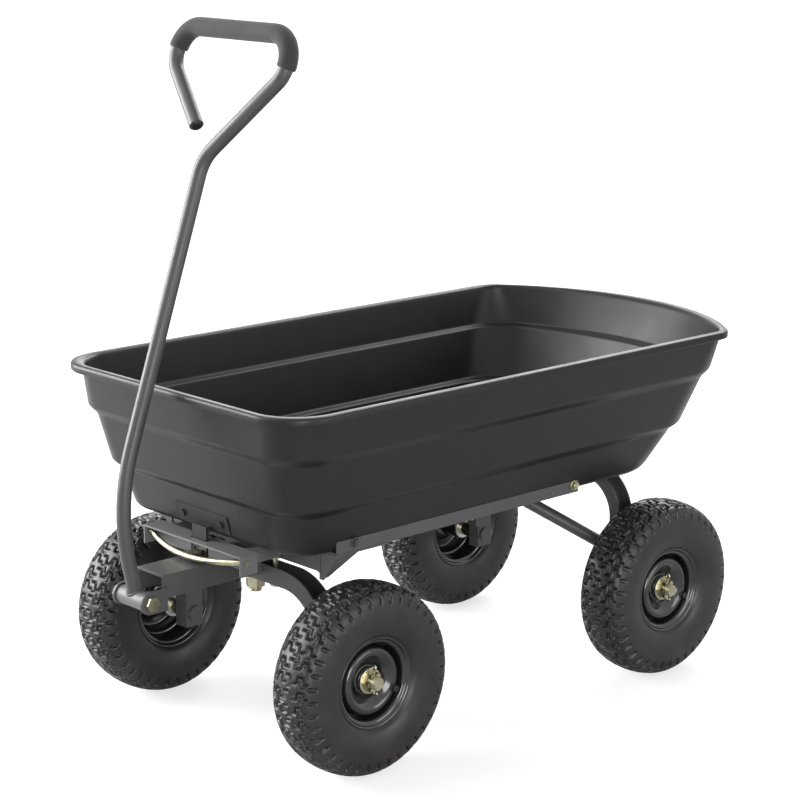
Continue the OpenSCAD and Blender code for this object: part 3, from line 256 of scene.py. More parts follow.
def smooth(mesh, degrees=38.0):
    """Smooth shading that keeps edges sharper than the angle."""
    mesh.shade_smooth()
    mesh.set_sharp_from_angle(angle=math.radians(degrees))


def rounded(points, steps):
    """Points of a profile with each corner turned into a curve; the last number of a point is its rounding.
    All the other numbers run along with it."""
    table = np.array(points, float)
    out = [table[0][:-1]]
    for before, here, after in zip(table[:-2], table[1:-1], table[2:]):
        back = before[:-1] - here[:-1]
        ahead = after[:-1] - here[:-1]
        back_len = np.linalg.norm(back[:2])
        ahead_len = np.linalg.norm(ahead[:2])
        trim = min(here[-1], CORNER_SHARE * back_len, CORNER_SHARE * ahead_len)
        if trim < ONE_POINT:
            out.append(here[:-1])
            continue
        start = here[:-1] + back * (trim / back_len)
        end = here[:-1] + ahead * (trim / ahead_len)
        for t in np.linspace(0.0, 1.0, steps + 1):
            out.append((1 - t) ** 2 * start + 2 * t * (1 - t) * here[:-1] + t * t * end)
    out.append(table[-1][:-1])
    return out


def section(points, steps):
    """A rounded section in metres from one in millimetres."""
    return [(r * MM, y * MM) for r, y in rounded(points, steps)]


def lathe(name, profile, centre, side, segments=96):
    """A closed profile of (radius, distance outwards along Y) turned about an axle."""
    verts = [
        (centre[0] + r * math.cos(a), centre[1] + side * y, centre[2] + r * math.sin(a))
        for r, y in profile
        for a in around(segments)
    ]
    return closed_mesh(name, verts, grid_faces(len(profile), segments, True))


def sweep(name, points, radii, segments):
    """A round bar along points, with a radius at each and flat ends."""
    points = [Vector(p) for p in points]
    tangents = []
    for i in range(len(points)):
        ahead = points[min(i + 1, len(points) - 1)]
        back = points[max(i - 1, 0)]
        tangents.append((ahead - back).normalized())
    side = tangents[0].orthogonal().normalized()
    verts = []
    for i, (point, tangent) in enumerate(zip(points, tangents)):
        if i:
            side = tangents[i - 1].rotation_difference(tangent) @ side
            side = (side - tangent * side.dot(tangent)).normalized()
        across = tangent.cross(side)
        for a in around(segments):
            verts.append(point + radii[i] * (math.cos(a) * side + math.sin(a) * across))
    return closed_mesh(name, verts, capped_faces(len(points), segments))


def run_points(start, runs, step=4.0):
    """Points along straight runs and bends, and each run's place: a run is a length, a turn towards its +Y, a radius
    and a roll; a step is the turn in degrees from one point of a bend to the next."""
    place = start.copy()
    points = [place.translation.copy()]
    places = []
    for straight, turn, radius, roll in runs:
        places.append(place.copy())
        place = place @ Matrix.Translation((0.0, 0.0, straight))
        points.append(place.translation.copy())
        if turn:
            sign = math.copysign(1.0, turn)
            count = max(3, math.ceil(abs(turn) / math.radians(step)))
            for i in range(1, count + 1):
                a = abs(turn) * i / count
                points.append(place @ Vector((0.0, sign * radius * (1 - math.cos(a)), radius * math.sin(a))))
            end = Vector((0.0, sign * radius * (1 - math.cos(turn)), radius * math.sin(abs(turn))))
            place = place @ Matrix.Translation(end) @ Matrix.Rotation(-turn, 4, "X")
        place = place @ Matrix.Rotation(roll, 4, "Z")
    clean = [points[0]]
    for point in points[1:]:
        if (point - clean[-1]).length > ONE_PATH_POINT:
            clean.append(point)
    return clean, places


def softened(node, width):
    """A copy of a solid's mesh with its edges rounded, as pressed and plated steel has them."""
    mesh = frame["nodes"][node].data.copy()
    work = bmesh.new()
    work.from_mesh(mesh)
    bmesh.ops.remove_doubles(work, verts=work.verts, dist=ONE_SOLID_POINT)
    bmesh.ops.dissolve_degenerate(work, edges=work.edges, dist=ONE_SOLID_POINT)
    bmesh.ops.dissolve_limit(
        work, angle_limit=math.radians(SAME_FACE), verts=work.verts, edges=work.edges, delimit={"NORMAL"}
    )
    limit = math.radians(ROUNDED_EDGE)
    edges = [e for e in work.edges if len(e.link_faces) == 2 and e.calc_face_angle(0.0) > limit]
    if width > 0.0 and edges:
        bmesh.ops.bevel(
            work, geom=edges, offset=width, offset_type="OFFSET", segments=2,
            profile=0.5, affect="EDGES", clamp_overlap=True, harden_normals=False,
        )
    bmesh.ops.remove_doubles(work, verts=work.verts, dist=ONE_SOLID_POINT)
    work.to_mesh(mesh)
    work.free()
    mesh.materials.clear()
    mesh.validate()
    mesh.name = node + "_finish"
    smooth(mesh, SHARP_EDGE)
    return mesh


def evaluated(piece):
    """The piece's evaluated shape as a plain mesh."""
    graph = bpy.context.evaluated_depsgraph_get()
    return bpy.data.meshes.new_from_object(piece.evaluated_get(graph))


def weight_normals(piece):
    """Keeps flat faces flat in shading beside their rounded edges."""
    modifier = piece.modifiers.new("Weighted normals", "WEIGHTED_NORMAL")
    modifier.keep_sharp = True
    mesh = evaluated(piece)
    piece.modifiers.clear()
    old = piece.data
    piece.data = mesh
    bpy.data.meshes.remove(old)


def finish_piece(piece, body, slot, finish, *nodes):
    """Paints a piece and puts it on its body in place of its solids; the slot it is given is not used."""
    piece.data.materials.clear()
    piece.data.materials.append(FINISHES[finish])
    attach(piece, body)
    if nodes:
        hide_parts(*nodes)


# ---------------------------------------------------------------- finishes


def add_node(tree, kind, inputs=(), **settings):
    """Adds a node, with its settings and its sockets' values or links."""
    made = tree.nodes.new(kind)
    for key, value in settings.items():
        setattr(made, key, value)
    for key, value in dict(inputs).items():
        if isinstance(value, bpy.types.NodeSocket):
            tree.links.new(value, made.inputs[key])
        else:
            made.inputs[key].default_value = value
    return made


def calc(tree, operation, first, second):
    """A sum, product or the like of two values."""
    return add_node(tree, "ShaderNodeMath", {0: first, 1: second}, operation=operation).outputs[0]


def noise(tree, where, scale, detail, roughness=0.5):
    """Soft noise at a scale."""
    inputs = {"Vector": where, "Scale": scale, "Detail": detail, "Roughness": roughness}
    return add_node(tree, "ShaderNodeTexNoise", inputs).outputs["Fac"]


def ranged(tree, value, low, high, to_low, to_high):
    """A value mapped from one range to another."""
    node = add_node(tree, "ShaderNodeMapRange", {
        "Value": value, "From Min": low, "From Max": high, "To Min": to_low, "To Max": to_high})
    return node.outputs["Result"]


def shader_group(name, inputs, outputs):
    """An empty shader group with named float inputs, a vector first, and named outputs."""
    tree = bpy.data.node_groups.new(name, "ShaderNodeTree")
    tree.interface.new_socket("Vector", in_out="INPUT", socket_type="NodeSocketVector")
    for label, value in inputs:
        socket = tree.interface.new_socket(label, in_out="INPUT", socket_type="NodeSocketFloat")
        socket.default_value = value
    for label in outputs:
        tree.interface.new_socket(label, in_out="OUTPUT", socket_type="NodeSocketFloat")
    return tree, tree.nodes.new("NodeGroupInput").outputs, tree.nodes.new("NodeGroupOutput").inputs


# Scale of the slow variation against that of the grain
SLOW_SCALE = 0.02
# Noise at which scuffs are full, and at which the first ones begin
SCUFF_FULL = 0.86
SCUFF_BEGIN = 0.78
# Share of dust that stays high up, and the noise between which its clouds thicken
HIGH_DUST = 0.25
DUST_CLOUDS = (0.35, 0.75)
# Variation between which roughness changes, depth of groove from which a painted shade darkens the rubber, and the full
# strength of that painted shade
VARIATION = (0.3, 0.7)
GROOVE_SHADE_BEGINS = 0.2
GROOVE_SHADE_FULL = 0.85


def make_grain():
    """Fine moulded grain: small pebbles for bump, and a slow variation for roughness."""
    tree, given, out = shader_group("Fine grain", [("Scale", 900.0), ("Pebble", 0.5)], ("Height", "Variation"))
    where, scale = given["Vector"], given["Scale"]
    pebble = add_node(tree, "ShaderNodeTexVoronoi", {"Vector": where, "Scale": scale}, feature="SMOOTH_F1")
    share = calc(tree, "MULTIPLY", pebble.outputs["Distance"], given["Pebble"])
    height = calc(tree, "SUBTRACT", noise(tree, where, scale, detail=3.0), share)
    cloud = noise(tree, where, calc(tree, "MULTIPLY", scale, SLOW_SCALE), detail=4.0)
    tree.links.new(height, out["Height"])
    tree.links.new(cloud, out["Variation"])
    return tree


def make_wear():
    """Scuffs and rubbed places: a broken mask at the given scale and amount."""
    tree, given, out = shader_group("Surface wear", [("Scale", 30.0), ("Amount", 0.3)], ("Mask",))
    patch = noise(tree, given["Vector"], given["Scale"], detail=8.0, roughness=0.7)
    begin = calc(tree, "SUBTRACT", SCUFF_BEGIN, given["Amount"])
    tree.links.new(ranged(tree, patch, begin, SCUFF_FULL, 0.0, 1.0), out["Mask"])
    return tree


def make_dust():
    """Settled dust: soft clouds, stronger towards the ground."""
    tree, given, out = shader_group("Settled dust", [("Scale", 14.0), ("Reach", 0.3), ("Amount", 0.3)], ("Mask",))
    cloud = noise(tree, given["Vector"], given["Scale"], detail=7.0, roughness=0.65)
    cloud = ranged(tree, cloud, *DUST_CLOUDS, 0.0, 1.0)
    height = add_node(tree, "ShaderNodeSeparateXYZ", {"Vector": given["Vector"]}).outputs["Z"]
    settled = calc(tree, "MULTIPLY", ranged(tree, height, 0.0, given["Reach"], 1.0, HIGH_DUST), cloud)
    tree.links.new(calc(tree, "MULTIPLY", settled, given["Amount"]), out["Mask"])
    return tree


GROUPS = {}
FINISHES = {}


def use_group(tree, group, where, **values):
    """Places a shared group in a material with its own values."""
    made = tree.nodes.new("ShaderNodeGroup")
    made.node_tree = GROUPS[group]
    tree.links.new(where, made.inputs["Vector"])
    for key, value in values.items():
        made.inputs[key].default_value = value
    return made.outputs


def mixed(tree, mask, first, second):
    """A colour between two, by a mask."""
    node = tree.nodes.new("ShaderNodeMix")
    node.data_type = "RGBA"
    tree.links.new(mask, node.inputs["Factor"])
    for socket, value in ((node.inputs[6], first), (node.inputs[7], second)):
        if isinstance(value, bpy.types.NodeSocket):
            tree.links.new(value, socket)
        else:
            socket.default_value = (*value, 1.0)
    return node.outputs[2]


def lighter(colour, factor):
    """A lighter or darker version of a colour."""
    return tuple(min(1.0, c * factor) for c in colour)


def make_finish(key, name, shades, grain, rough, bump, wear=None, dust=None, groove_shade=None, plain=()):
    """A finish whose colour varies slowly between two shades, with scuffs, dust and a painted shade in grooves over it.
    It is given by its grain (scale, pebble), range of roughness, bump (strength, distance), wear (scale, amount,
    colour), dust (scale, reach, amount, colour), colour of the painted shade in grooves and plain values of the shader."""
    material = bpy.data.materials.new(name)
    material.use_nodes = True
    tree = material.node_tree
    shader = tree.nodes["Principled BSDF"]
    where = tree.nodes.new("ShaderNodeTexCoord").outputs["Object"]
    grained = use_group(tree, "grain", where, Scale=grain[0], Pebble=grain[1])
    base = mixed(tree, grained["Variation"], *shades)
    if wear:
        mask = use_group(tree, "wear", where, Scale=wear[0], Amount=wear[1])["Mask"]
        base = mixed(tree, mask, base, wear[2])
    if dust:
        mask = use_group(tree, "dust", where, Scale=dust[0], Reach=dust[1], Amount=dust[2])["Mask"]
        base = mixed(tree, mask, base, dust[3])
    # Painted shade: the deeper the tread lies in a groove, the darker its colour
    if groove_shade:
        groove = add_node(tree, "ShaderNodeAttribute", attribute_name="groove", attribute_type="GEOMETRY")
        mask = ranged(tree, groove.outputs["Fac"], GROOVE_SHADE_BEGINS, 1.0, 0.0, GROOVE_SHADE_FULL)
        base = mixed(tree, mask, base, groove_shade)
    tree.links.new(base, shader.inputs["Base Color"])
    tree.links.new(ranged(tree, grained["Variation"], *VARIATION, *rough), shader.inputs["Roughness"])
    for socket, value in dict(plain).items():
        shader.inputs[socket].default_value = value
    relief = add_node(tree, "ShaderNodeBump", {"Height": grained["Height"], "Strength": bump[0], "Distance": bump[1]})
    tree.links.new(relief.outputs["Normal"], shader.inputs["Normal"])
    FINISHES[key] = material


def make_finishes(colours):
    """Every finish of the cart."""
    GROUPS.update(grain=make_grain(), wear=make_wear(), dust=make_dust())
    dust = tuple(colours.dust)

    def shades(colour, dark, pale):
        return lighter(colour, dark), lighter(colour, pale)

    make_finish(
        "poly", "Moulded poly", shades(colours.poly, 0.85, 1.2), (1100.0, 0.6), (0.29, 0.38), (0.12, 0.0004),
        wear=(26.0, 0.08, lighter(colours.poly, 2.0)), dust=(9.0, 0.5, 0.05, dust),
        plain={"Specular IOR Level": 0.26})
    # The grey coat is the powder coat made paler: partly a real paler coat, partly a painted sheen standing in for
    # highlights
    for key, name, colour in (("paint", "Powder coat", colours.paint), ("plate", "Grey coat and painted sheen", colours.plate)):
        make_finish(
            key, name, shades(colour, 0.88, 1.14), (700.0, 0.2), (0.35, 0.47), (0.12, 0.0005),
            wear=(60.0, 0.12, lighter(colour, 2.2)), dust=(16.0, 0.4, 0.12, dust),
            plain={"Specular IOR Level": 0.42})
    make_finish(
        "gloss", "Gloss black", shades(colours.gloss, 0.9, 1.15), (420.0, 0.1), (0.13, 0.20), (0.02, 0.0006),
        dust=(30.0, 0.25, 0.05, dust), plain={"Coat Weight": 0.5, "Coat Roughness": 0.08})
    # The tyres' grooves get a painted shade, darker the deeper they lie
    make_finish(
        "rubber", "Tyre rubber", shades(colours.rubber, 0.85, 1.25), (1500.0, 0.3), (0.32, 0.44), (0.15, 0.0003),
        dust=(24.0, 0.3, 0.09, dust), groove_shade=lighter(colours.rubber, 0.35), plain={"Specular IOR Level": 0.40})
    make_finish(
        "foam", "Foam grip", shades(colours.foam, 0.82, 1.2), (1300.0, 0.9), (0.84, 0.96), (0.5, 0.0006),
        plain={"Sheen Weight": 0.12})
    make_finish(
        "zinc", "Yellow zinc", (tuple(colours.zinc), tuple(colours.zinc_pale)), (900.0, 0.2), (0.22, 0.38),
        (0.06, 0.0003), wear=(110.0, 0.34, tuple(colours.zinc_worn)), plain={"Metallic": 1.0})
    make_finish(
        "steel", "Bright steel", shades(colours.steel, 0.85, 1.1), (800.0, 0.1), (0.24, 0.40), (0.05, 0.0003),
        plain={"Metallic": 1.0})
    make_finish(
        "cap", "Black cap", shades(colours.cap, 0.8, 1.4), (1600.0, 0.3), (0.40, 0.55), (0.08, 0.0003),
        plain={"Specular IOR Level": 0.28})


# ---------------------------------------------------------------- repeats


def repeat_tree(name, inputs):
    """An empty tree of geometry nodes with named inputs; returns it, its inputs and their identifiers."""
    tree = bpy.data.node_groups.new(name, "GeometryNodeTree")
    tree.interface.new_socket("Geometry", in_out="OUTPUT", socket_type="NodeSocketGeometry")
    names = {}
    for label, kind, value in inputs:
        socket = tree.interface.new_socket(label, in_out="INPUT", socket_type=kind)
        if value is not None:
            socket.default_value = value
        names[label] = socket.identifier
    return tree, tree.nodes.new("NodeGroupInput").outputs, tree.nodes.new("NodeGroupOutput").inputs, names


def made_by(tree, names, mesh_name, **values):
    """The plain mesh that a tree makes with these inputs."""
    host = add_object(mesh_name + "_host", bpy.data.meshes.new(mesh_name + "_host"))
    modifier = host.modifiers.new("Repeat", "NODES")
    modifier.node_group = tree
    for label, value in values.items():
        modifier[names[label]] = value
    bpy.context.view_layer.update()
    mesh = evaluated(host)
    host.modifiers.clear()
    bpy.data.objects.remove(host)
    mesh.name = mesh_name
    return mesh


def end_tree(tree, given, out, copies, weld=None):
    """Ends a tree: its copies are made real, welded where a distance is given, smooth and painted."""
    shape = add_node(tree, "GeometryNodeRealizeInstances", {"Geometry": copies.outputs["Instances"]})
    if weld is not None:
        shape = add_node(tree, "GeometryNodeMergeByDistance", {"Geometry": shape.outputs[0], "Distance": weld})
    shape = add_node(tree, "GeometryNodeSetShadeSmooth", {"Geometry": shape.outputs[0], "Shade Smooth": True})
    shape = add_node(tree, "GeometryNodeSetMaterial", {"Geometry": shape.outputs[0], "Material": given["Finish"]})
    tree.links.new(shape.outputs[0], out["Geometry"])


def ring_tree():
    """One pitch of a tyre repeated about the axle."""
    tree, given, out, names = repeat_tree("Ring of pitches", [
        ("Pitch", "NodeSocketObject", None), ("Count", "NodeSocketInt", 20),
        ("Weld", "NodeSocketFloat", 0.0002), ("Finish", "NodeSocketMaterial", None)])
    points = add_node(tree, "GeometryNodePoints", {"Count": given["Count"]})
    step = calc(tree, "DIVIDE", FULL_TURN, given["Count"])
    turn = calc(tree, "MULTIPLY", tree.nodes.new("GeometryNodeInputIndex").outputs[0], step)
    spin = add_node(tree, "ShaderNodeCombineXYZ", {"Y": turn})
    shape = add_node(tree, "GeometryNodeObjectInfo", {"Object": given["Pitch"], "As Instance": True})
    copies = add_node(tree, "GeometryNodeInstanceOnPoints", {
        "Points": points.outputs[0], "Instance": shape.outputs["Geometry"], "Rotation": spin.outputs[0]})
    end_tree(tree, given, out, copies, given["Weld"])
    return tree, names


# Smallest and greatest bead against the plain one, and the seed of their sizes
BEAD_SIZES = (0.82, 1.12)
BEAD_SEED = 7


def bead_tree():
    """A weld: overlapping round beads along a path."""
    tree, given, out, names = repeat_tree("Weld beads", [
        ("Path", "NodeSocketObject", None), ("Spacing", "NodeSocketFloat", 0.0016),
        ("Bead", "NodeSocketFloat", 0.0022), ("Finish", "NodeSocketMaterial", None)])
    path = add_node(tree, "GeometryNodeObjectInfo", {"Object": given["Path"]})
    line = add_node(tree, "GeometryNodeMeshToCurve", {"Mesh": path.outputs["Geometry"]})
    points = add_node(tree, "GeometryNodeCurveToPoints", {"Curve": line.outputs[0], "Length": given["Spacing"]},
                      mode="LENGTH")
    drop = add_node(tree, "GeometryNodeMeshIcoSphere", {"Radius": given["Bead"], "Subdivisions": 2})
    low, high = BEAD_SIZES
    rough = add_node(tree, "FunctionNodeRandomValue", {2: low, 3: high, "Seed": BEAD_SEED}, data_type="FLOAT")
    copies = add_node(tree, "GeometryNodeInstanceOnPoints", {
        "Points": points.outputs["Points"], "Instance": drop.outputs["Mesh"], "Scale": rough.outputs[1]})
    end_tree(tree, given, out, copies)
    return tree, names


def thread_tree():
    """A screw thread's ridges: fine rings one after another along a line."""
    tree, given, out, names = repeat_tree("Thread ridges", [
        ("Radius", "NodeSocketFloat", 0.008), ("Ridge", "NodeSocketFloat", 0.0005), ("Count", "NodeSocketInt", 6),
        ("Start", "NodeSocketVector", None), ("Step", "NodeSocketVector", None), ("Turn", "NodeSocketVector", None),
        ("Finish", "NodeSocketMaterial", None)])
    ring = add_node(tree, "GeometryNodeCurvePrimitiveCircle", {"Resolution": 40, "Radius": given["Radius"]})
    ridge = add_node(tree, "GeometryNodeCurvePrimitiveCircle", {"Resolution": 6, "Radius": given["Ridge"]})
    solid = add_node(tree, "GeometryNodeCurveToMesh", {"Curve": ring.outputs[0], "Profile Curve": ridge.outputs[0]})
    line = add_node(tree, "GeometryNodeMeshLine", {
        "Count": given["Count"], "Start Location": given["Start"], "Offset": given["Step"]})
    copies = add_node(tree, "GeometryNodeInstanceOnPoints", {
        "Points": line.outputs[0], "Instance": solid.outputs[0], "Rotation": given["Turn"]})
    end_tree(tree, given, out, copies)
    return tree, names


# ---------------------------------------------------------------- tub

# Points of the outline along a front corner, a rear corner and half of the bowed rear
FRONT_POINTS = 13
REAR_POINTS = 12
BOW_POINTS = 13
# Share of an inset by which the front corners get tighter
FRONT_SHRINK = 0.25


def tub_outline(half, front, rear, front_r, corner_r, bow_r):
    """The tub's outline in plan: rounded front corners, straight sides and a bowed rear."""
    bow = math.asin((half - corner_r) / (bow_r - corner_r))
    corner_x = bow_r - rear - (bow_r - corner_r) * math.cos(bow)
    left = []
    for a in np.linspace(0.0, QUARTER_TURN, FRONT_POINTS):
        left.append((front - front_r + front_r * math.cos(a), half - front_r + front_r * math.sin(a)))
    for a in np.linspace(QUARTER_TURN, HALF_TURN - bow, REAR_POINTS):
        left.append((corner_x + corner_r * math.cos(a), half - corner_r + corner_r * math.sin(a)))
    for a in np.linspace(HALF_TURN - bow, HALF_TURN, BOW_POINTS)[1:]:
        left.append((bow_r - rear + bow_r * math.cos(a), bow_r * math.sin(a)))
    return left + [(x, -y) for x, y in left[-2::-1]]


def tub_profile(s, base, rim):
    """The wall's section as insets at the sides and at the rear, heights, corner and bow radii and roundings."""
    upper = (s.lip_width + s.upper_draft, s.lip_width + s.rear_upper)
    upper_step = (upper[0] + s.upper_ledge_width, upper[1] + s.upper_ledge_width)
    middle = (upper_step[0] + s.middle_draft, upper_step[1] + s.rear_middle)
    lower_step = (middle[0] + s.lower_ledge_width, middle[1] + s.lower_ledge_width)
    foot = (lower_step[0] + s.lower_draft, lower_step[1] + s.rear_lower)
    lower_top = base + s.lower_tier
    lower_step_top = lower_top + s.lower_ledge
    middle_top = lower_step_top + s.middle_tier
    upper_step_top = middle_top + s.upper_ledge
    tiers = [(foot, base), (lower_step, lower_top), (middle, lower_step_top),
             (upper_step, middle_top), (upper, upper_step_top)]
    floor_in = 3 * s.base_round
    lip_in = s.lip_width + 0.6 * s.wall
    top_round, edge_round, under_round = 0.4 * s.lip_height, 0.2 * s.lip_height, s.lip_height / 9
    low_rim = rim - s.lip_height
    lifts = (s.ledge_lift * s.lower_ledge, 0.0, s.ledge_lift * s.upper_ledge, 0.0)

    def inner(place, z, rounding, more=0.0):
        return (place[0] + s.wall + more, z, place[1] + s.wall + more, s.tier_corner - s.wall, s.tier_bow, rounding)

    def outer(place, z, rounding, more=0.0):
        return (place[0] + more, z, place[1] + more, s.tier_corner, s.tier_bow, rounding)

    def lip(inset, z, rounding):
        return (inset, z, inset, s.rear_corner, s.rim_bow, rounding)

    rows = [inner(foot, base + s.wall, 0.0, floor_in), inner(foot, base + s.wall, s.base_round)]
    rows += [inner(place, z + s.wall / 2 + lift, s.inner_round) for (place, z), lift in zip(tiers[1:], lifts)]
    rows += [lip(lip_in, rim, s.rim_round), lip(0.0, rim, top_round), lip(0.0, low_rim, edge_round),
             lip(s.lip_width, low_rim, under_round)]
    rows += [outer(place, z, s.edge_round) for place, z in tiers[:0:-1]]
    rows += [outer(foot, base, 0.8 * s.base_round), outer(foot, base, 0.0, floor_in)]
    return rounded(rows, steps=5)


class CART_OT_tub(bpy.types.Operator):
    """Make the moulded tub with its ledges and rolled rim"""

    bl_idname = "cart.tub"
    bl_label = "Tub"

    def execute(self, context):
        s = context.scene.cart_tub
        low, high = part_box("tub")
        half = (high.y - low.y) / 2
        rings = []
        for inset, z, back, corner, bow in tub_profile(s, low.z, high.z):
            outline = tub_outline(half - inset, high.x - inset, -low.x - back,
                                  s.front_corner - FRONT_SHRINK * inset, corner, bow)
            rings.append([(x, y, z) for x, y in outline])
        verts = [p for ring in rings for p in ring]
        mesh = closed_mesh("tub_skin", verts, capped_faces(len(rings), len(rings[0])))
        smooth(mesh, SHARP_EDGE)
        finish_piece(add_object("tub_skin", mesh), "tub", "tub_poly", "poly", "tub")
        return {"FINISHED"}


# ---------------------------------------------------------------- wheels

# Section of the tyre from the bead to the middle of the tread, in millimetres: radius and distance from the middle
TYRE_SECTION = np.array([
    (53.2, 20.0), (54.5, 24.5), (60.0, 27.6), (63.0, 31.6), (67.0, 33.9), (75.0, 36.4), (84.0, 38.0), (92.0, 38.4),
    (100.0, 38.1), (107.0, 37.3), (112.5, 35.9), (117.0, 33.6), (120.8, 30.0), (123.2, 25.6), (125.0, 19.5),
    (126.3, 12.0), (126.9, 5.0), (127.0, 0.0)])
# Length of one pitch of the tread, in millimetres
TREAD_PITCH = 39.9
# Grooves of the tread on one side of the crown, in millimetres: places along and across, half width of the floor and
# share of the full depth
TREAD_GROOVES = [
    ([(5.0, -1.0), (5.0, 7.0), (14.0, 9.0), (14.0, 16.5), (4.0, 18.5), (4.0, 26.0), (12.0, 28.0), (12.0, 33.0)],
     0.75, 0.9),
    ([(25.0, -1.0), (25.0, 9.0), (34.0, 11.0), (34.0, 19.0), (24.0, 21.0), (24.0, 28.0), (32.0, 30.0), (32.0, 34.0)],
     0.75, 0.9),
    ([(9.5, 21.5), (18.0, 22.0), (18.0, 29.0)], 0.4, 0.6),
    ([(18.5, 2.5), (18.5, 12.5), (27.5, 15.0)], 0.4, 0.6),
    ([(29.5, 24.8), (37.5, 25.2)], 0.4, 0.6),
    ([(18.0, 37.5), (18.0, 48.0)], 2.2, 1.0),
    ([(38.0, 39.0), (38.0, 48.0)], 1.9, 1.0)]
# Width of the tread on one side of the crown, and over which its grooves run out, in millimetres
TREAD_REACH = 50.0
TREAD_FADE = 6.0
# Points of one side's section below and on the tread, and spaces of a pitch along it
SIDE_POINTS = 16
CROWN_POINTS = 46
PITCH_COLUMNS = 35
# Turn of each tyre against the one before, in radians, so that their patterns don't stand alike
TYRE_ROLL = 0.31


def spline(points, t):
    """A smooth curve through points, at the distances t along it."""
    steps = np.r_[0.0, np.cumsum(np.hypot(*np.diff(points, axis=0).T))]
    tangents = np.gradient(points, steps, axis=0)
    where = np.clip(np.searchsorted(steps, t, side="right") - 1, 0, len(steps) - 2)
    span = (steps[where + 1] - steps[where])[:, None]
    u = ((t - steps[where])[:, None]) / span
    a, b = points[where], points[where + 1]
    ta, tb = tangents[where] * span, tangents[where + 1] * span
    h = 2 * u ** 3 - 3 * u ** 2
    return (h + 1) * a + (u ** 3 - 2 * u ** 2 + u) * ta - h * b + (u ** 3 - u ** 2) * tb


def line_distance(points, line):
    """Distance of points from a run of straight lines."""
    nearest = np.full(len(points), np.inf)
    for a, b in zip(line[:-1], line[1:]):
        edge = b - a
        t = np.clip(((points - a) @ edge) / (edge @ edge), 0.0, 1.0)
        nearest = np.minimum(nearest, np.linalg.norm(points - a - t[:, None] * edge, axis=1))
    return nearest


def groove_depth(along, across, slope):
    """How deep the tread lies at a place, from 0 on a lug to 1 in a full groove."""
    deepest = np.zeros(len(along))
    for side, shift in ((1.0, 0.0), (-1.0, TREAD_PITCH / 2)):
        for line, half, share in TREAD_GROOVES:
            for pitch in range(-2, 3):
                places = np.c_[along - shift + pitch * TREAD_PITCH, side * across]
                if side < 0:
                    places[:, 0] = TREAD_PITCH - places[:, 0]
                t = np.clip((line_distance(places, np.array(line)) - half) / slope, 0.0, 1.0)
                deepest = np.maximum(deepest, share * (1 - eased(t)))
    return deepest


def tyre_pitch(s):
    """One pitch of the tyre about the Y axis, with its grooves' depth kept as an attribute."""
    whole = np.hypot(*np.diff(TYRE_SECTION, axis=0).T).sum()
    sides = np.linspace(0.0, whole - TREAD_REACH, SIDE_POINTS, endpoint=False)
    half = np.r_[sides, np.linspace(whole - TREAD_REACH, whole, CROWN_POINTS)]
    side = spline(TYRE_SECTION, half)
    ring = np.vstack([side, (side * (1, -1))[-2::-1]])
    across = np.r_[whole - half, -(whole - half)[-2::-1]]
    normal = np.gradient(ring, axis=0)
    normal = np.c_[-normal[:, 1], normal[:, 0]]
    normal /= np.linalg.norm(normal, axis=1)[:, None]
    normal *= np.sign(normal[len(ring) // 2, 0])
    fade = np.clip((TREAD_REACH - np.abs(across)) / TREAD_FADE, 0.0, 1.0)
    verts, grooves = [], []
    for place in np.linspace(0.0, TREAD_PITCH, PITCH_COLUMNS + 1):
        depth = groove_depth(np.full(len(ring), place), across, s.groove_slope / MM) * fade
        turn = FULL_TURN / s.pitches * place / TREAD_PITCH
        moved = ring - normal * (depth * s.tread_depth / MM)[:, None]
        verts += [(r * math.sin(turn), y, r * math.cos(turn)) for r, y in moved * MM]
        grooves += list(depth)
    mesh = bpy.data.meshes.new("tyre_pitch")
    faces = grid_faces(PITCH_COLUMNS + 1, len(ring), False)
    mesh.from_pydata([tuple(map(float, v)) for v in verts], [], faces)
    mesh.attributes.new("groove", "FLOAT", "POINT").data.foreach_set("value", np.array(grooves, np.float32))
    return mesh


# Section of the rim in millimetres: radius, distance outwards from the wheel's middle plane, rounding
RIM_SECTION = [
    (17.1, 7.2, 0.0), (19.6, 8.0, 1.2), (22.6, 10.0, 3.0), (30.0, 18.6, 7.0), (38.0, 23.2, 6.0), (44.0, 21.6, 4.5),
    (46.6, 14.0, 3.0), (47.6, 4.0, 1.5), (49.0, 3.2, 1.2), (50.2, 8.0, 2.0), (50.8, 20.0, 3.0), (52.6, 24.2, 3.0),
    (56.4, 25.4, 2.0), (58.0, 28.6, 1.8), (60.6, 29.6, 1.4), (61.0, 27.6, 1.0), (58.6, 25.0, 1.6), (54.4, 22.6, 1.6),
    (52.8, 16.0, 1.6), (52.4, 0.0, 2.0), (52.8, -16.0, 1.6), (54.4, -22.6, 1.6), (58.6, -25.0, 1.6),
    (61.0, -27.6, 1.0), (60.6, -29.6, 1.4), (58.0, -28.6, 1.8), (56.4, -25.4, 2.0), (52.6, -24.2, 3.0),
    (50.4, -18.0, 4.0), (49.8, 1.0, 1.5), (46.4, 1.6, 1.5), (44.8, 13.4, 3.0), (42.8, 19.2, 4.0), (38.0, 20.8, 5.0),
    (31.4, 16.8, 6.0), (24.2, 8.4, 3.0), (19.8, 6.0, 1.2), (17.1, 5.2, 0.0)]
# Section of the hub's tube, in the same measures
HUB_SECTION = [
    (13.6, 14.0, 0.0), (16.4, 14.0, 1.0), (17.0, 13.0, 0.6), (17.0, -27.0, 0.6), (16.4, -28.0, 1.0),
    (13.6, -28.0, 0.6), (13.4, -20.0, 0.6), (13.4, 10.0, 0.6)]
# Section of a valve stem with its cap, in millimetres: radius, distance from its seat, rounding
VALVE_SECTION = [
    (0.0, -4.0, 0.0), (5.6, -4.0, 0.0), (5.6, 2.6, 0.6), (4.6, 3.4, 0.6), (4.2, 3.9, 0.3), (4.2, 4.1, 0.1),
    (4.7, 4.3, 0.2), (4.7, 7.4, 0.8), (3.4, 8.6, 0.8), (0.0, 8.6, 0.0)]
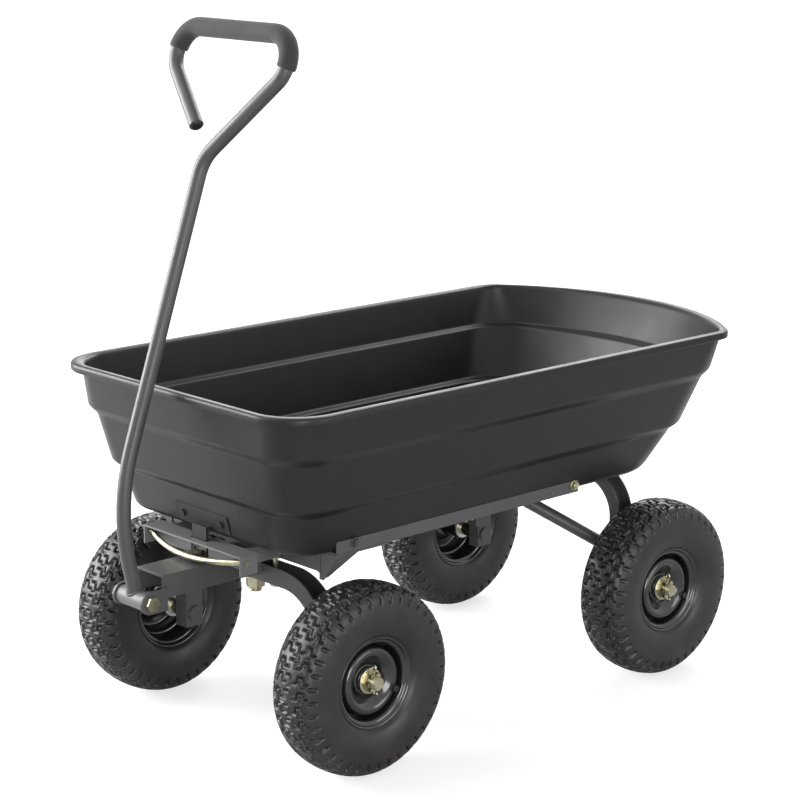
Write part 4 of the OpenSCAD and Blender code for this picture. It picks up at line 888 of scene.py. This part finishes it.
# Place of the valve stem's seat on the disc, and the ridges of its cap: number, depth and the span they cover
VALVE_RADIUS = 40.0
VALVE_SEAT = 20.5
CAP_RIDGES = 14
RIDGE_DEPTH = 0.35
RIDGE_SPAN = (4.6, 7.2)


def outwards(wheel):
    """The direction along Y in which a wheel's outside lies."""
    return -1.0 if wheel.endswith("right") else 1.0


def valve_stem(name, seat, out):
    """A rubber stem with a ridged cap, standing outwards on its seat."""
    profile = rounded(VALVE_SECTION, steps=3)
    segments = 4 * CAP_RIDGES
    verts = []
    for r, y in profile:
        ridged = RIDGE_SPAN[0] < y < RIDGE_SPAN[1]
        for a in around(segments):
            ridge = RIDGE_DEPTH * max(0.0, math.cos(CAP_RIDGES * a)) if ridged else 0.0
            rr = max(r - ridge, 0.0) * MM
            verts.append((seat.x + rr * math.cos(a), seat.y + out * y * MM, seat.z + rr * math.sin(a)))
    return closed_mesh(name, verts, grid_faces(len(profile), segments, False))


class CART_OT_tyres(bpy.types.Operator):
    """Make the tyres with their grooved tread"""

    bl_idname = "cart.tyres"
    bl_label = "Tyres"

    def execute(self, context):
        s = context.scene.cart_wheels
        pitch = add_object("tyre_pitch", tyre_pitch(s))
        tree, names = ring_tree()
        ring = made_by(tree, names, "tyre_ring", Pitch=pitch, Count=s.pitches, Finish=FINISHES["rubber"])
        bpy.data.objects.remove(pitch)
        work = bmesh.new()
        work.from_mesh(ring)
        bmesh.ops.recalc_face_normals(work, faces=work.faces)
        work.to_mesh(ring)
        work.free()
        for i, wheel in enumerate(WHEELS):
            mesh = ring.copy()
            turn = Matrix.Rotation(HALF_TURN if wheel.endswith("right") else 0.0, 4, "Z")
            roll = Matrix.Rotation(TYRE_ROLL * i, 4, "Y")
            mesh.transform(Matrix.Translation(JOINT_AT["spin_" + wheel]) @ turn @ roll)
            piece = add_object("tyre_skin_" + wheel, mesh)
            finish_piece(piece, "wheel_" + wheel, "tyre", "rubber", "tyre_" + wheel)
        bpy.data.meshes.remove(ring)
        return {"FINISHED"}


class CART_OT_rims(bpy.types.Operator):
    """Make the welded rims with their domed discs, and the valve stems"""

    bl_idname = "cart.rims"
    bl_label = "Rims and valves"

    def execute(self, context):
        for wheel in WHEELS:
            side = outwards(wheel)
            body = "wheel_" + wheel
            centre = JOINT_AT["spin_" + wheel]
            name = "rim_shell_" + wheel
            disc = lathe(name, section(RIM_SECTION, steps=3), centre, side)
            hub = lathe(name + "_hub", section(HUB_SECTION, steps=2), centre, side, segments=64)
            mesh = joined(name, disc, hub)
            smooth(mesh, degrees=46.0)
            finish_piece(add_object(name, mesh), body, "rim_gloss", "gloss", "rim_" + wheel)

            low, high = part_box("valve_" + wheel)
            away = (low + high) / 2 - centre
            away.y = 0.0
            seat = centre + away.normalized() * VALVE_RADIUS * MM
            seat.y += side * VALVE_SEAT * MM
            name = "valve_stem_" + wheel
            mesh = valve_stem(name, seat, side)
            smooth(mesh, degrees=50.0)
            finish_piece(add_object(name, mesh), body, "valve_rubber", "cap", "valve_" + wheel)
        return {"FINISHED"}


# ---------------------------------------------------------------- handle

# Greatest distance between two points along the grip, in metres
GRIP_STEP = 0.004
# Share of the foam's thickness that its very ends have
GRIP_END_SHARE = 0.55


class CART_OT_handle(bpy.types.Operator):
    """Make the bent handle tube and its foam grip"""

    bl_idname = "cart.handle"
    bl_label = "Handle"

    def execute(self, context):
        s = context.scene.cart_handle
        turn = s.tilt + s.lean
        tangent = s.long_bend * math.tan(turn / 2)
        out, back = s.loop_turn, -s.corner_turn
        runs = [
            (s.lower - tangent, -turn, s.long_bend, QUARTER_TURN), (s.upper - tangent, out, s.loop_bend, 0.0),
            (s.loop_side, back, s.loop_corner, 0.0), (s.loop_top, back, s.loop_corner, 0.0),
            (s.loop_arm, 0.0, 0.0, 0.0)]
        start = (Matrix.Translation(JOINT_AT["handle_pitch"]) @ Matrix.Rotation(s.tilt, 4, "Y")
                 @ Matrix.Rotation(-QUARTER_TURN, 4, "Z"))
        points, places = run_points(start, runs)
        radius = s.tube / 2
        points[0] = points[0] + (points[1] - points[0]).normalized() * radius
        mesh = sweep("handle_bar", points, [radius] * len(points), segments=32)
        smooth(mesh)
        finish_piece(add_object("handle_bar", mesh), "handle", "frame_paint", "paint", "handle_tube")

        _, begin = run_points(places[2], [(s.loop_side, -s.grip_start, s.loop_corner, 0.0), (0.0, 0.0, 0.0, 0.0)])
        grip, _ = run_points(begin[1], [
            (0.0, back + s.grip_start, s.loop_corner, 0.0), (s.loop_top, -s.grip_end, s.loop_corner, 0.0)], step=3.0)
        fine = []
        for a, b in zip(grip[:-1], grip[1:]):
            pieces = max(1, round((b - a).length / GRIP_STEP))
            fine += [a.lerp(b, i / pieces) for i in range(pieces)]
        fine.append(grip[-1])
        walked = np.r_[0.0, np.cumsum([(b - a).length for a, b in zip(fine[:-1], fine[1:])])]
        edge = np.clip(np.minimum(walked, walked[-1] - walked) / s.grip_round, 0.0, 1.0)
        swell = GRIP_END_SHARE + (1 - GRIP_END_SHARE) * np.sqrt(1 - (1 - edge) ** 2)
        radii = radius + (s.grip / 2 - radius) * swell
        mesh = sweep("foam_grip", fine, [float(r) for r in radii], segments=36)
        smooth(mesh, degrees=60.0)
        finish_piece(add_object("foam_grip", mesh), "handle", "foam", "foam", "handle_grip")
        return {"FINISHED"}


# ---------------------------------------------------------------- steelwork and fasteners

# Pieces that keep the shape of their solid with rounded edges: body, slot, finish, rounding in millimetres and nodes
SOFTENED = [
    ("tub", "frame_paint", "paint", 0.6, ("bed_rail_left", "bed_rail_right")),
    ("tub", "yellow_zinc", "zinc", 0.4, ("bed_rail_bolts",)),
    ("tub", "frame_paint", "paint", 0.5, ("tub_hinge_left", "tub_hinge_right")),
    ("tub", "frame_paint", "cap", 0.6, ("latch_keeper",)),
    ("tub", "yellow_zinc", "zinc", 0.4, ("tub_bolts",)),
    ("frame", "frame_paint", "paint", 0.7, ("backbone", "front_crossmember")),
    ("frame", "frame_paint", "paint", 0.6, ("front_gusset_left", "front_gusset_right")),
    ("frame", "frame_paint", "paint", 0.7, ("rear_arch",)),
    ("frame", "frame_paint", "paint", 0.6, ("rear_brace_left", "rear_brace_right")),
    ("frame", "yellow_zinc", "zinc", 0.4, ("brace_bolts", "hinge_bolts")),
    # The latch bracket's grey coat is partly a painted sheen
    ("frame", "frame_paint", "plate", 0.7, ("latch_bracket",)),
    ("frame", "yellow_zinc", "zinc", 0.5, ("kingpin", "kingpin_nut")),
    ("frame", "bare_steel", "zinc", 0.5, ("rear_spindle_left", "rear_spindle_right")),
    ("frame", "yellow_zinc", "zinc", 0.4, ("rear_axle_nuts",)),
    ("frame", "yellow_zinc", "zinc", 0.0, ("rear_cotter_pins",)),
    ("steering", "frame_paint", "paint", 0.7, ("front_arch", "tongue")),
    ("steering", "yellow_zinc", "zinc", 0.4, ("tongue_bolts",)),
    ("steering", "bare_steel", "steel", 0.4, ("kingpin_bush",)),
    ("steering", "bare_steel", "zinc", 0.5, ("front_spindle_left", "front_spindle_right")),
    ("steering", "yellow_zinc", "zinc", 0.4, ("front_axle_nuts",)),
    ("steering", "yellow_zinc", "zinc", 0.0, ("front_cotter_pins",)),
    ("steering", "yellow_zinc", "zinc", 0.5, ("handle_pivot_bolt",)),
    # The pivot sleeve's grey coat is partly a painted highlight
    ("handle", "frame_paint", "plate", 0.8, ("pivot_sleeve",)),
    ("handle", "cap_plastic", "cap", 0.8, ("handle_end_cap",)),
    ("latch", "yellow_zinc", "zinc", 0.5, ("latch_bail", "latch_hook")),
]
SOFTENED += [("wheel_" + wheel, "bare_steel", "steel", 0.4, ("bearings_" + wheel,)) for wheel in WHEELS]
# Distance of the legs' inner faces from the middle, in metres: the spindles' heads inside them are painted over
LEG_INSIDE = 0.1395


def paint_where(piece, finish, chosen):
    """Gives the faces whose middle is chosen another finish, as heads that were painted over have."""
    piece.data.materials.append(FINISHES[finish])
    for face in piece.data.polygons:
        if chosen(face.center):
            face.material_index = 1


class CART_OT_steelwork(bpy.types.Operator):
    """Make the frame, the fasteners and the small parts with rounded edges"""

    bl_idname = "cart.steelwork"
    bl_label = "Steelwork and fasteners"

    def execute(self, context):
        for body, slot, finish, width, nodes in SOFTENED:
            for node in nodes:
                piece = add_object(node + "_finish", softened(node, width * MM))
                weight_normals(piece)
                finish_piece(piece, body, slot, finish, node)
                if "spindle" in node:
                    paint_where(piece, "paint", lambda c: abs(c.y) < LEG_INSIDE)
                if node == "bed_rail_bolts":
                    paint_where(piece, "paint", lambda c: c.x > 0.0)
                if node == "tub_bolts":
                    paint_where(piece, "cap", lambda c: c.x > 0.0)
        return {"FINISHED"}


# Length of a brace's upper end before its tube begins, in lengths of its tab
UPPER_TAB = 1.25


class CART_OT_braces(bpy.types.Operator):
    """Make the brace tubes, which are flattened at both ends where they meet their tabs"""

    bl_idname = "cart.braces"
    bl_label = "Brace tubes"

    def execute(self, context):
        s = context.scene.cart_frame
        low, high = (Vector(corner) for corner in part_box("rear_brace_left"))
        start = Vector((low.x + s.tab_sheet / 2, high.y - s.leg_depth / 2, low.z + s.tab_length))
        end = Vector((high.x - UPPER_TAB * s.tab_length, low.y + s.tab_width / 2, high.z - s.tab_sheet / 2))
        run = (end - start).length
        along = (end - start).normalized()
        flats = [(axis - along * axis.dot(along)).normalized() for axis in (Vector((1, 0, 0)), Vector((0, 0, 1)))]
        first = along.cross(flats[0])
        second = along.cross(first)
        rings, segments = 48, 32
        verts = []
        for i in range(rings + 1):
            walked = run * i / rings
            flat = flats[0] if i < rings / 2 else flats[1]
            swell = eased(min(1.0, min(walked, run - walked) / s.tube_flat))
            thick = (s.tab_sheet + (s.brace_tube - s.tab_sheet) * swell) / 2
            wide = (s.tab_width + (s.brace_tube - s.tab_width) * swell) / 2
            for a in around(segments):
                out = math.cos(a) * first + math.sin(a) * second
                reach = 1 / math.hypot(out.dot(flat) / thick, out.dot(along.cross(flat)) / wide)
                verts.append(start + along * walked + out * reach)
        faces = capped_faces(rings + 1, segments)
        for side, across in (("left", 1.0), ("right", -1.0)):
            name = "brace_tube_" + side
            mesh = closed_mesh(name, [(v.x, across * v.y, v.z) for v in verts], faces)
            smooth(mesh)
            finish_piece(add_object(name, mesh), "frame", "frame_paint", "paint")
        return {"FINISHED"}


# ---------------------------------------------------------------- welds and threads

# Straight welds on both sides, in millimetres off a joint: body, joint, place along and across, heights of the ends
STRAIGHT_WELDS = [
    ("steering", "steer", 14.2, 27.6, (-23.0, -9.5)),
    ("steering", "steer", 168.8, 27.8, (-23.5, -9.5)),
    ("frame", "steer", 20.2, 155.2, (11.0, 36.5)),
    ("frame", "steer", 20.2, 73.8, (13.0, 33.0)),
    ("frame", "tub_tip", 10.0, 64.6, (-8.0, 7.5)),
    ("frame", "tub_tip", 10.0, 75.4, (-8.0, 7.5)),
]
# Weld round a hub, in millimetres: radius and distance outwards from the wheel's middle plane
HUB_WELD = (18.0, 8.6)


def saddle(s):
    """Where the handle's tube meets its sleeve."""
    centre = JOINT_AT["handle_pitch"]
    up = Vector((math.sin(s.tilt), 0.0, math.cos(s.tilt)))
    across = Vector((0.0, 1.0, 0.0))
    ahead = up.cross(across)
    radius = s.tube / 2
    points = []
    for a in around(48):
        rise = math.sqrt((s.sleeve / 2) ** 2 - (radius * math.sin(a)) ** 2)
        points.append(centre + up * rise + radius * (math.cos(a) * across + math.sin(a) * ahead))
    return points


def path_object(name, lines):
    """An object of edges along lines of points, each of them open or closed."""
    verts, edges = [], []
    for points, closed in lines:
        first = len(verts)
        verts += [tuple(p) for p in points]
        count = len(points)
        edges += [(first + i, first + i + 1) for i in range(count - 1)]
        if closed:
            edges.append((first + count - 1, first))
    mesh = bpy.data.meshes.new(name)
    mesh.from_pydata(verts, edges, [])
    return add_object(name, mesh)


class CART_OT_welds(bpy.types.Operator):
    """Make the weld beads of the frame, the handle and the wheels"""

    bl_idname = "cart.welds"
    bl_label = "Welds"

    def execute(self, context):
        tree, names = bead_tree()
        lines = {"handle": [(saddle(context.scene.cart_handle), True)], "steering": [], "frame": []}
        for side in (-1, 1):
            for body, joint, along, across, heights in STRAIGHT_WELDS:
                ends = [JOINT_AT[joint] + Vector((along, side * across, z)) * MM for z in heights]
                lines[body].append((ends, False))
        radius, out = HUB_WELD
        for wheel in WHEELS:
            centre = JOINT_AT["spin_" + wheel] + Vector((0.0, outwards(wheel) * out * MM, 0.0))
            ring = [centre + Vector((math.cos(a), 0.0, math.sin(a))) * radius * MM for a in around(60)]
            lines["wheel_" + wheel] = [(ring, True)]
        for body, paths in lines.items():
            slot, finish = ("rim_gloss", "gloss") if body.startswith("wheel") else ("frame_paint", "paint")
            host = path_object("weld_path", paths)
            mesh = made_by(tree, names, "weld_" + body, Path=host, Finish=FINISHES[finish])
            bpy.data.objects.remove(host)
            finish_piece(add_object("weld_" + body, mesh), body, slot, finish)
        return {"FINISHED"}


# Section of an axle washer in millimetres: radius, distance from its seat, rounding
WASHER_SECTION = [
    (8.3, 0.0, 0.0), (17.4, 0.0, 0.5), (17.6, 1.2, 0.3), (17.2, 2.5, 0.7), (8.9, 2.5, 0.4), (8.3, 2.0, 0.3)]
# Thickness of a washer, in millimetres
WASHER_SHEET = 2.5
# Threads, in millimetres: pitch, radius of a ridge, radius of the kingpin's thread, and the first ridge's distance
# from the end of an axle and of the kingpin
THREAD_PITCH = 1.25
THREAD_RIDGE = 0.5
KINGPIN_THREAD = 8.0
AXLE_TIP = 1.4
KINGPIN_TIP = 1.2
# Width of a spindle's collar, which is its widest part, against its thread
COLLAR = 1.35


class CART_OT_threads(bpy.types.Operator):
    """Make the washers and threads on the axle ends, and the kingpin's thread"""

    bl_idname = "cart.threads"
    bl_label = "Washers and threads"

    def execute(self, context):
        profile = section(WASHER_SECTION, steps=2)
        for axle, body in (("front", "steering"), ("rear", "frame")):
            node = axle + "_axle_washers"
            low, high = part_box(node)
            x, z = JOINT_AT["spin_%s_left" % axle].x, (low.z + high.z) / 2
            pair = [
                lathe(node, profile, (x, outside - side * WASHER_SHEET * MM, z), side, segments=64)
                for side, outside in ((1.0, high.y), (-1.0, low.y))
            ]
            mesh = joined(node + "_finish", *pair)
            smooth(mesh, degrees=50.0)
            finish_piece(add_object(node + "_finish", mesh), body, "yellow_zinc", "zinc", node)

        tree, names = thread_tree()
        shared = dict(Ridge=THREAD_RIDGE * MM, Finish=FINISHES["zinc"])
        for wheel in WHEELS:
            out = outwards(wheel)
            low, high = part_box("%s_spindle_%s" % tuple(wheel.split("_")))
            end = high.y if out > 0 else low.y
            centre = JOINT_AT["spin_" + wheel]
            mesh = made_by(
                tree, names, "thread_" + wheel, Radius=(high.z - low.z) / 2 / COLLAR, Count=6,
                Start=(centre.x, end - out * AXLE_TIP * MM, centre.z), Step=(0.0, -out * THREAD_PITCH * MM, 0.0),
                Turn=(QUARTER_TURN, 0.0, 0.0), **shared)
            body = "steering" if wheel.startswith("front") else "frame"
            finish_piece(add_object("thread_" + wheel, mesh), body, "yellow_zinc", "zinc")
        low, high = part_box("kingpin")
        mesh = made_by(
            tree, names, "thread_kingpin", Radius=KINGPIN_THREAD * MM, Count=5,
            Start=(JOINT_AT["steer"].x, 0.0, low.z + KINGPIN_TIP * MM), Step=(0.0, 0.0, THREAD_PITCH * MM),
            Turn=(0.0, 0.0, 0.0), **shared)
        finish_piece(add_object("thread_kingpin", mesh), "frame", "yellow_zinc", "zinc")
        return {"FINISHED"}


# ---------------------------------------------------------------- stage

# Camera: its place, the place it looks at, and its lens and sensor in millimetres
CAMERA_AT = Vector((2.13999, 2.3236, 1.1656))
CAMERA_TO = Vector((-0.02841, -0.0439, 0.3984))
LENS = 104.70
SENSOR = 36.0
# Lamps: name, place, place they point at, size in metres and power in watts
LAMPS = [
    ("key", (1.65, -2.25, 1.35), (-0.3, 0.0, 1.1), 2.1, 172.0),
    ("top", (1.3, -0.9, 2.7), (-0.4, 0.0, 0.35), 1.4, 16.0),
    ("fill", (1.7, 2.8, 0.9), (0.0, 0.0, 0.3), 1.5, 52.0),
    ("side", (-0.7, 2.6, 0.6), (-0.4, 0.8, 0.0), 1.2, 15.0),
    ("back", (-2.2, -0.6, 2.3), (0.0, -0.1, 0.4), 1.6, 60.0),
    ("edge", (-2.4, -2.7, 1.5), (0.0, 0.0, 0.4), 1.8, 24.0),
]
WHITE = (1.0, 1.0, 1.0, 1.0)
# Light of the surroundings on the cart
WORLD_LIGHT = 0.34
# Half the floor's width in metres, and its colour
FLOOR_REACH = 14.0
FLOOR_COLOUR = (0.55, 0.55, 0.55, 1.0)
# Lift of the floor towards white: the distances in metres between which it rises, its range, and its share in
# reflections
LIFT_FROM, LIFT_TO = 1.0, 2.4
NEAR_LIFT, FAR_LIFT = 0.66, 1.0
MIRRORED_LIFT = 0.2


def seen_rays(tree, part=1.0):
    """1 for what the camera sees, a part of that for reflections and clear things, and 0 for all other light."""
    rays = tree.nodes.new("ShaderNodeLightPath").outputs
    other = calc(tree, "MAXIMUM", rays["Is Glossy Ray"], rays["Is Transmission Ray"])
    return calc(tree, "MAXIMUM", rays["Is Camera Ray"], calc(tree, "MULTIPLY", other, part))


def light_world(scene):
    """A world that lights the cart evenly, and is plain white to the camera and in reflections."""
    scene.world = bpy.data.worlds.new("Studio")
    scene.world.use_nodes = True
    tree = scene.world.node_tree
    tree.nodes.clear()
    light = add_node(tree, "ShaderNodeBackground", {"Color": WHITE, "Strength": WORLD_LIGHT})
    seen = add_node(tree, "ShaderNodeBackground", {"Color": WHITE, "Strength": 1.0})
    mix = add_node(tree, "ShaderNodeMixShader", {0: seen_rays(tree), 1: light.outputs[0], 2: seen.outputs[0]})
    add_node(tree, "ShaderNodeOutputWorld", {"Surface": mix.outputs[0]})


def lay_floor():
    """A pale floor that keeps the cart's shadow near it and turns white further away."""
    r = FLOOR_REACH
    mesh = bpy.data.meshes.new("floor")
    mesh.from_pydata([(-r, -r, 0), (r, -r, 0), (r, r, 0), (-r, r, 0)], [], [(0, 1, 2, 3)])
    material = bpy.data.materials.new("Pale floor")
    material.use_nodes = True
    tree = material.node_tree
    shader = tree.nodes["Principled BSDF"]
    shader.inputs["Base Color"].default_value = FLOOR_COLOUR
    shader.inputs["Roughness"].default_value = 0.9
    shader.inputs["Specular IOR Level"].default_value = 0.1
    where = tree.nodes.new("ShaderNodeTexCoord").outputs["Object"]
    away = add_node(tree, "ShaderNodeVectorMath", {0: where}, operation="LENGTH").outputs["Value"]
    level = ranged(tree, away, LIFT_FROM, LIFT_TO, NEAR_LIFT, FAR_LIFT)
    lift = calc(tree, "MULTIPLY", seen_rays(tree, MIRRORED_LIFT), level)
    glow = add_node(tree, "ShaderNodeEmission", {"Color": WHITE, "Strength": lift})
    both = add_node(tree, "ShaderNodeAddShader", {0: shader.outputs[0], 1: glow.outputs[0]})
    tree.links.new(both.outputs[0], tree.nodes["Material Output"].inputs["Surface"])
    mesh.materials.append(material)
    floor = add_object("floor", mesh)


def aim(made, place, target):
    """Puts a lamp or a camera at a place, turned towards another."""
    made.location = place
    made.rotation_euler = (Vector(target) - Vector(place)).to_track_quat("-Z", "Y").to_euler()
    bpy.context.scene.collection.objects.link(made)


class CART_OT_stage(bpy.types.Operator):
    """Make the floor, the light and the camera"""

    bl_idname = "cart.stage"
    bl_label = "Stage"

    def execute(self, context):
        scene = context.scene
        scene.view_settings.view_transform = "Standard"
        light_world(scene)
        lay_floor()
        for name, place, target, size, power in LAMPS:
            lamp = bpy.data.lights.new(name, "AREA")
            lamp.energy = power
            lamp.size = size
            aim(bpy.data.objects.new(name, lamp), place, target)
        data = bpy.data.cameras.new("camera")
        data.sensor_fit = "HORIZONTAL"
        data.sensor_width = SENSOR
        data.lens = LENS
        scene.camera = bpy.data.objects.new("camera", data)
        aim(scene.camera, CAMERA_AT, CAMERA_TO)
        return {"FINISHED"}


OPERATORS = (
    CART_OT_tub, CART_OT_tyres, CART_OT_rims, CART_OT_handle, CART_OT_steelwork, CART_OT_braces, CART_OT_welds,
    CART_OT_threads, CART_OT_stage)


class CART_PT_pieces(bpy.types.Panel):
    """Lists the cart's pieces"""

    bl_label = "Dump cart"
    bl_idname = "CART_PT_pieces"
    bl_space_type = "VIEW_3D"
    bl_region_type = "UI"
    bl_category = "Cart"

    def draw(self, context):
        for operator in OPERATORS:
            self.layout.operator(operator.bl_idname)


GROUPS_OF_SIZES = (
    ("cart_tub", CartTubSizes), ("cart_wheels", CartWheelSizes), ("cart_handle", CartHandleSizes),
    ("cart_frame", CartFrameSizes), ("cart_finishes", CartFinishes))


def register():
    """Registers the sizes, the pieces and the panel."""
    for name, group in GROUPS_OF_SIZES:
        bpy.utils.register_class(group)
        setattr(bpy.types.Scene, name, bpy.props.PointerProperty(type=group))
    for kind in OPERATORS + (CART_PT_pieces,):
        bpy.utils.register_class(kind)


def unregister():
    """Takes them away again."""
    for kind in (CART_PT_pieces,) + OPERATORS[::-1]:
        bpy.utils.unregister_class(kind)
    for name, group in GROUPS_OF_SIZES[::-1]:
        delattr(bpy.types.Scene, name)
        bpy.utils.unregister_class(group)


def main():
    """Makes every piece and the stage."""
    register()
    make_finishes(bpy.context.scene.cart_finishes)
    bpy.ops.cart.tub()
    bpy.ops.cart.tyres()
    bpy.ops.cart.rims()
    bpy.ops.cart.handle()
    bpy.ops.cart.steelwork()
    bpy.ops.cart.braces()
    bpy.ops.cart.welds()
    bpy.ops.cart.threads()
    bpy.ops.cart.stage()


if __name__ == "__main__":
    main()
